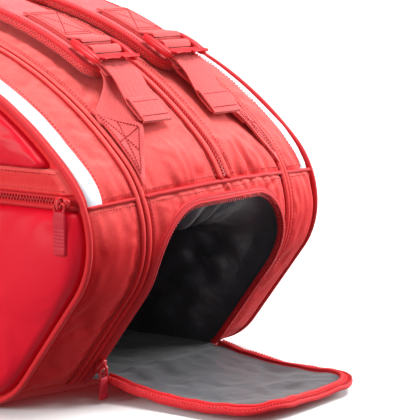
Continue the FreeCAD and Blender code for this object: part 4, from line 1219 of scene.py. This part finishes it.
def slider(name, f, body, across=False):
    """Zip slider at a frame, with its bridge along u or across it. The body's name is its CAD node's and _body."""
    xs, half, high = np.array([(-7.2, 2.6, 3.2), (-6.6, 3.4, 4.0), (-5, 4.3, 4.5), (-2, 4.7, 4.7), (1, 4.6, 4.7),
                               (4, 4.0, 4.4), (6.4, 3.2, 3.9), (7.2, 2.4, 3.0)]).T
    prof = np.stack([rounded(2 * a, h, 1.0) for a, h in zip(half, high)])
    base = sweep("base", f(xyz(xs, 0, 0.5 * high + 0.1)), f.w, prof, METAL)
    a, h = smooth_path([(-4.4, 3.6), (-4.4, 7.4), (-3.0, 9.0), (3.0, 9.0), (4.4, 7.4), (4.4, 3.6)], 2).T
    path, up = (xyz(0, a, h), f.u) if across else (xyz(a, 0, h), f.v)
    bridge = sweep("bridge", f(path), up, rounded(1.7, 3.0, 0.6), METAL)
    done(outwards(join(name, [base, bridge])), body, "slider_metal", body[:-len("_body")])


def puller(name, f, body, length=42.0, half=6.0):
    """Ribbed rubber tab on a wire eye that turns about v."""
    eye = max(half, 6.2)
    loop = smooth_path([(8.5, -eye + 2.6, PIVOT), (4, -eye + 1.2, PIVOT), (0.3, -eye + 1.0, PIVOT), (-0.6, 0, PIVOT),
                        (0.3, eye - 1.0, PIVOT), (4, eye - 1.2, PIVOT), (8.5, eye - 2.6, PIVOT)], 2)
    wire = sweep("wire", f(loop), f.w, circle(1.0), METAL)
    a = np.linspace(0, 1, 56)
    x = 6.5 + (length - 6.5) * a
    tip = 1 - np.clip((a - 0.93) / 0.075, 0, 1)**2.4
    wide = half * (0.80 + 0.20 * smooth(a / 0.1)) * np.sqrt(np.clip(tip, 0.12, 1))
    ribs = smooth((a - 0.30) / 0.04) * smooth((0.84 - a) / 0.04) * (0.5 + 0.5 * np.cos(x * 2 * math.pi / 2.9))
    high = 2.5 * (0.75 + 0.25 * smooth(a / 0.12)) * np.sqrt(np.clip(tip, 0.15, 1)) - 0.75 * ribs
    prof = np.stack([rounded(2 * w, h, min(0.9, h * 0.45)) for w, h in zip(wide, high)])
    tab = sweep("tab", f(xyz(x, 0, PIVOT)), f.w, prof, RUBBER)
    done(outwards(join(name, [wire, tab])), body, "puller_rubber", body[:-len("_body")])


for letter, way in (("a", 1), ("b", -1)):
    f = on_top(5.0 * way, crown(0) + 1.5, 0, way)
    slider(f"main_zip_slider_{letter}", f, f"main_slider_{letter}_body")
    puller(f"main_zip_puller_{letter}", f, f"main_puller_{letter}_body")
for side, sgn in (("front", -1), ("rear", 1)):
    f = on_top(-40.0, 3.0, sgn * SEAM_Y)
    slider(f"{side}_side_zip_slider", f, f"{side}_side_slider_body")
    puller(f"{side}_side_zip_puller", f, f"{side}_side_puller_body")
pocket = (263.0, -172.0, 182.0)
slider("pocket_zip_slider", Frame(pocket, (1, 0, 0), (0, -1, 0)), "front_pocket_slider_body", True)
puller("pocket_zip_puller", Frame(pocket, (0, 0, -1), (0, -1, 0)), "front_pocket_puller_body")
# the shoe pocket's slider stands on the flank, START_Z above the ground
u, w = np.array([-math.cos(FLANK), 0, math.sin(FLANK)]), np.array([math.sin(FLANK), 0, math.cos(FLANK)])
START_Z = 33.0
at = np.array([HALF - NOSE_R, -95.0, WIDE_Z]) + (NOSE_R + crown(95) + 2.9) * w
shoe = Frame(at + (START_Z - at[2]) / u[2] * u, u, w)
slider("shoe_zip_slider", shoe, "shoe_slider_body")
hanging = Frame(shoe([0, 0, PIVOT]) + [PIVOT, 0, 0], (0, 0, -1), (-1, 0, 0))
puller("shoe_zip_puller", hanging, "shoe_puller_body", 26.0, 5.0)

# dividers between the centre and the racket compartments
for k, sgn in enumerate((-1, 1)):
    edge = surf(spans(3, L5, 6), sgn * 103.0, -4.0)[:, None]
    v = np.linspace(-1, 1, 61)
    pts = xyz(edge[..., 0] * v, sgn * 103.0, edge[..., 2])
    pts[..., 1] += 1.2 * fbm(pts, 70.0, 71) * np.minimum(1, 6 * (1 - np.abs(v)))
    wall = grid(f"divider_{k}", pts, LINING, pts[..., 0], pts[..., 2], False)
    done(wall, "bag", "grey_lining", *["racket_dividers"][k:])

# ------------------------------------------------------------ studio

m = tree_of("studio_floor")
tone = m.node("TexNoise", Scale=3.0, Detail=1.0).outputs[0]
paint = m.material(Base_Color=m.mix(tone, (0.90, 0.90, 0.905), (0.93, 0.93, 0.935)), Roughness=0.65,
                   Specular_IOR_Level=0.25)
FAR = 30000
corners = [(-FAR, -FAR, -0.4), (FAR, -FAR, -0.4), (FAR, FAR, -0.4), (-FAR, FAR, -0.4)]
floor = add("studio_floor", corners, [(0, 1, 2, 3)], paint, np.zeros((4, 2)))
floor.visible_diffuse = False

world = bpy.data.worlds.new("studio")
bpy.context.scene.world = world
sky = Nodes(world)
level = sky.math("MULTIPLY_ADD", sky.split(sky.node("TexCoord").outputs["Generated"])[2], 0.18, 0.26)
sky.fill(sky.tree.nodes["Background"], Color=(1.0, 1.0, 1.0), Strength=sky.math("MAXIMUM", level, 0.19))


def placed(data, at, aim):
    """Object for a light or a camera at a place, looking at a point."""
    obj = bpy.data.objects.new(data.name, data)
    bpy.context.scene.collection.objects.link(obj)
    obj.location = at
    obj.rotation_euler = (Vector(aim) - Vector(at)).to_track_quat("-Z", "Y").to_euler()
    return obj


def soft_light(name, at, aim, size, watts):
    data = bpy.data.lights.new(name, "AREA")
    data.shape, data.size, data.energy = "SQUARE", size, watts
    return placed(data, at, aim)


sun = bpy.data.lights.new("overhead", "SUN")
sun.energy, sun.angle = 3.8, math.radians(34)
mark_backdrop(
    floor,
    placed(sun, (0, 0, 0), (-0.26, -0.24, -1.0)),
    soft_light("key", (-0.7, -2.5, 1.0), (0.0, 0, 0.16), 1.1, 60),
    soft_light("fill", (1.35, 2.0, 0.9), (0.25, 0.1, 0.15), 1.0, 56),
)

cam = bpy.data.cameras.new("camera")
cam.lens, cam.sensor_width = 161.1, 36.0
cam.clip_start, cam.clip_end = 0.05, 200.0
bpy.context.scene.camera = placed(cam, (1.2214, -1.2976, 0.3898), (0.2809, 0.0, 0.1577))
bpy.context.scene.view_settings.view_transform = "Standard"

bpy.context.view_layer.update()


def as_lists(box):
    return [list(map(float, corner)) for corner in box] if hasattr(box[0], "__len__") else list(map(float, box))


{"cad": as_lists(CAD_BOX), "scene": as_lists(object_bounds())}
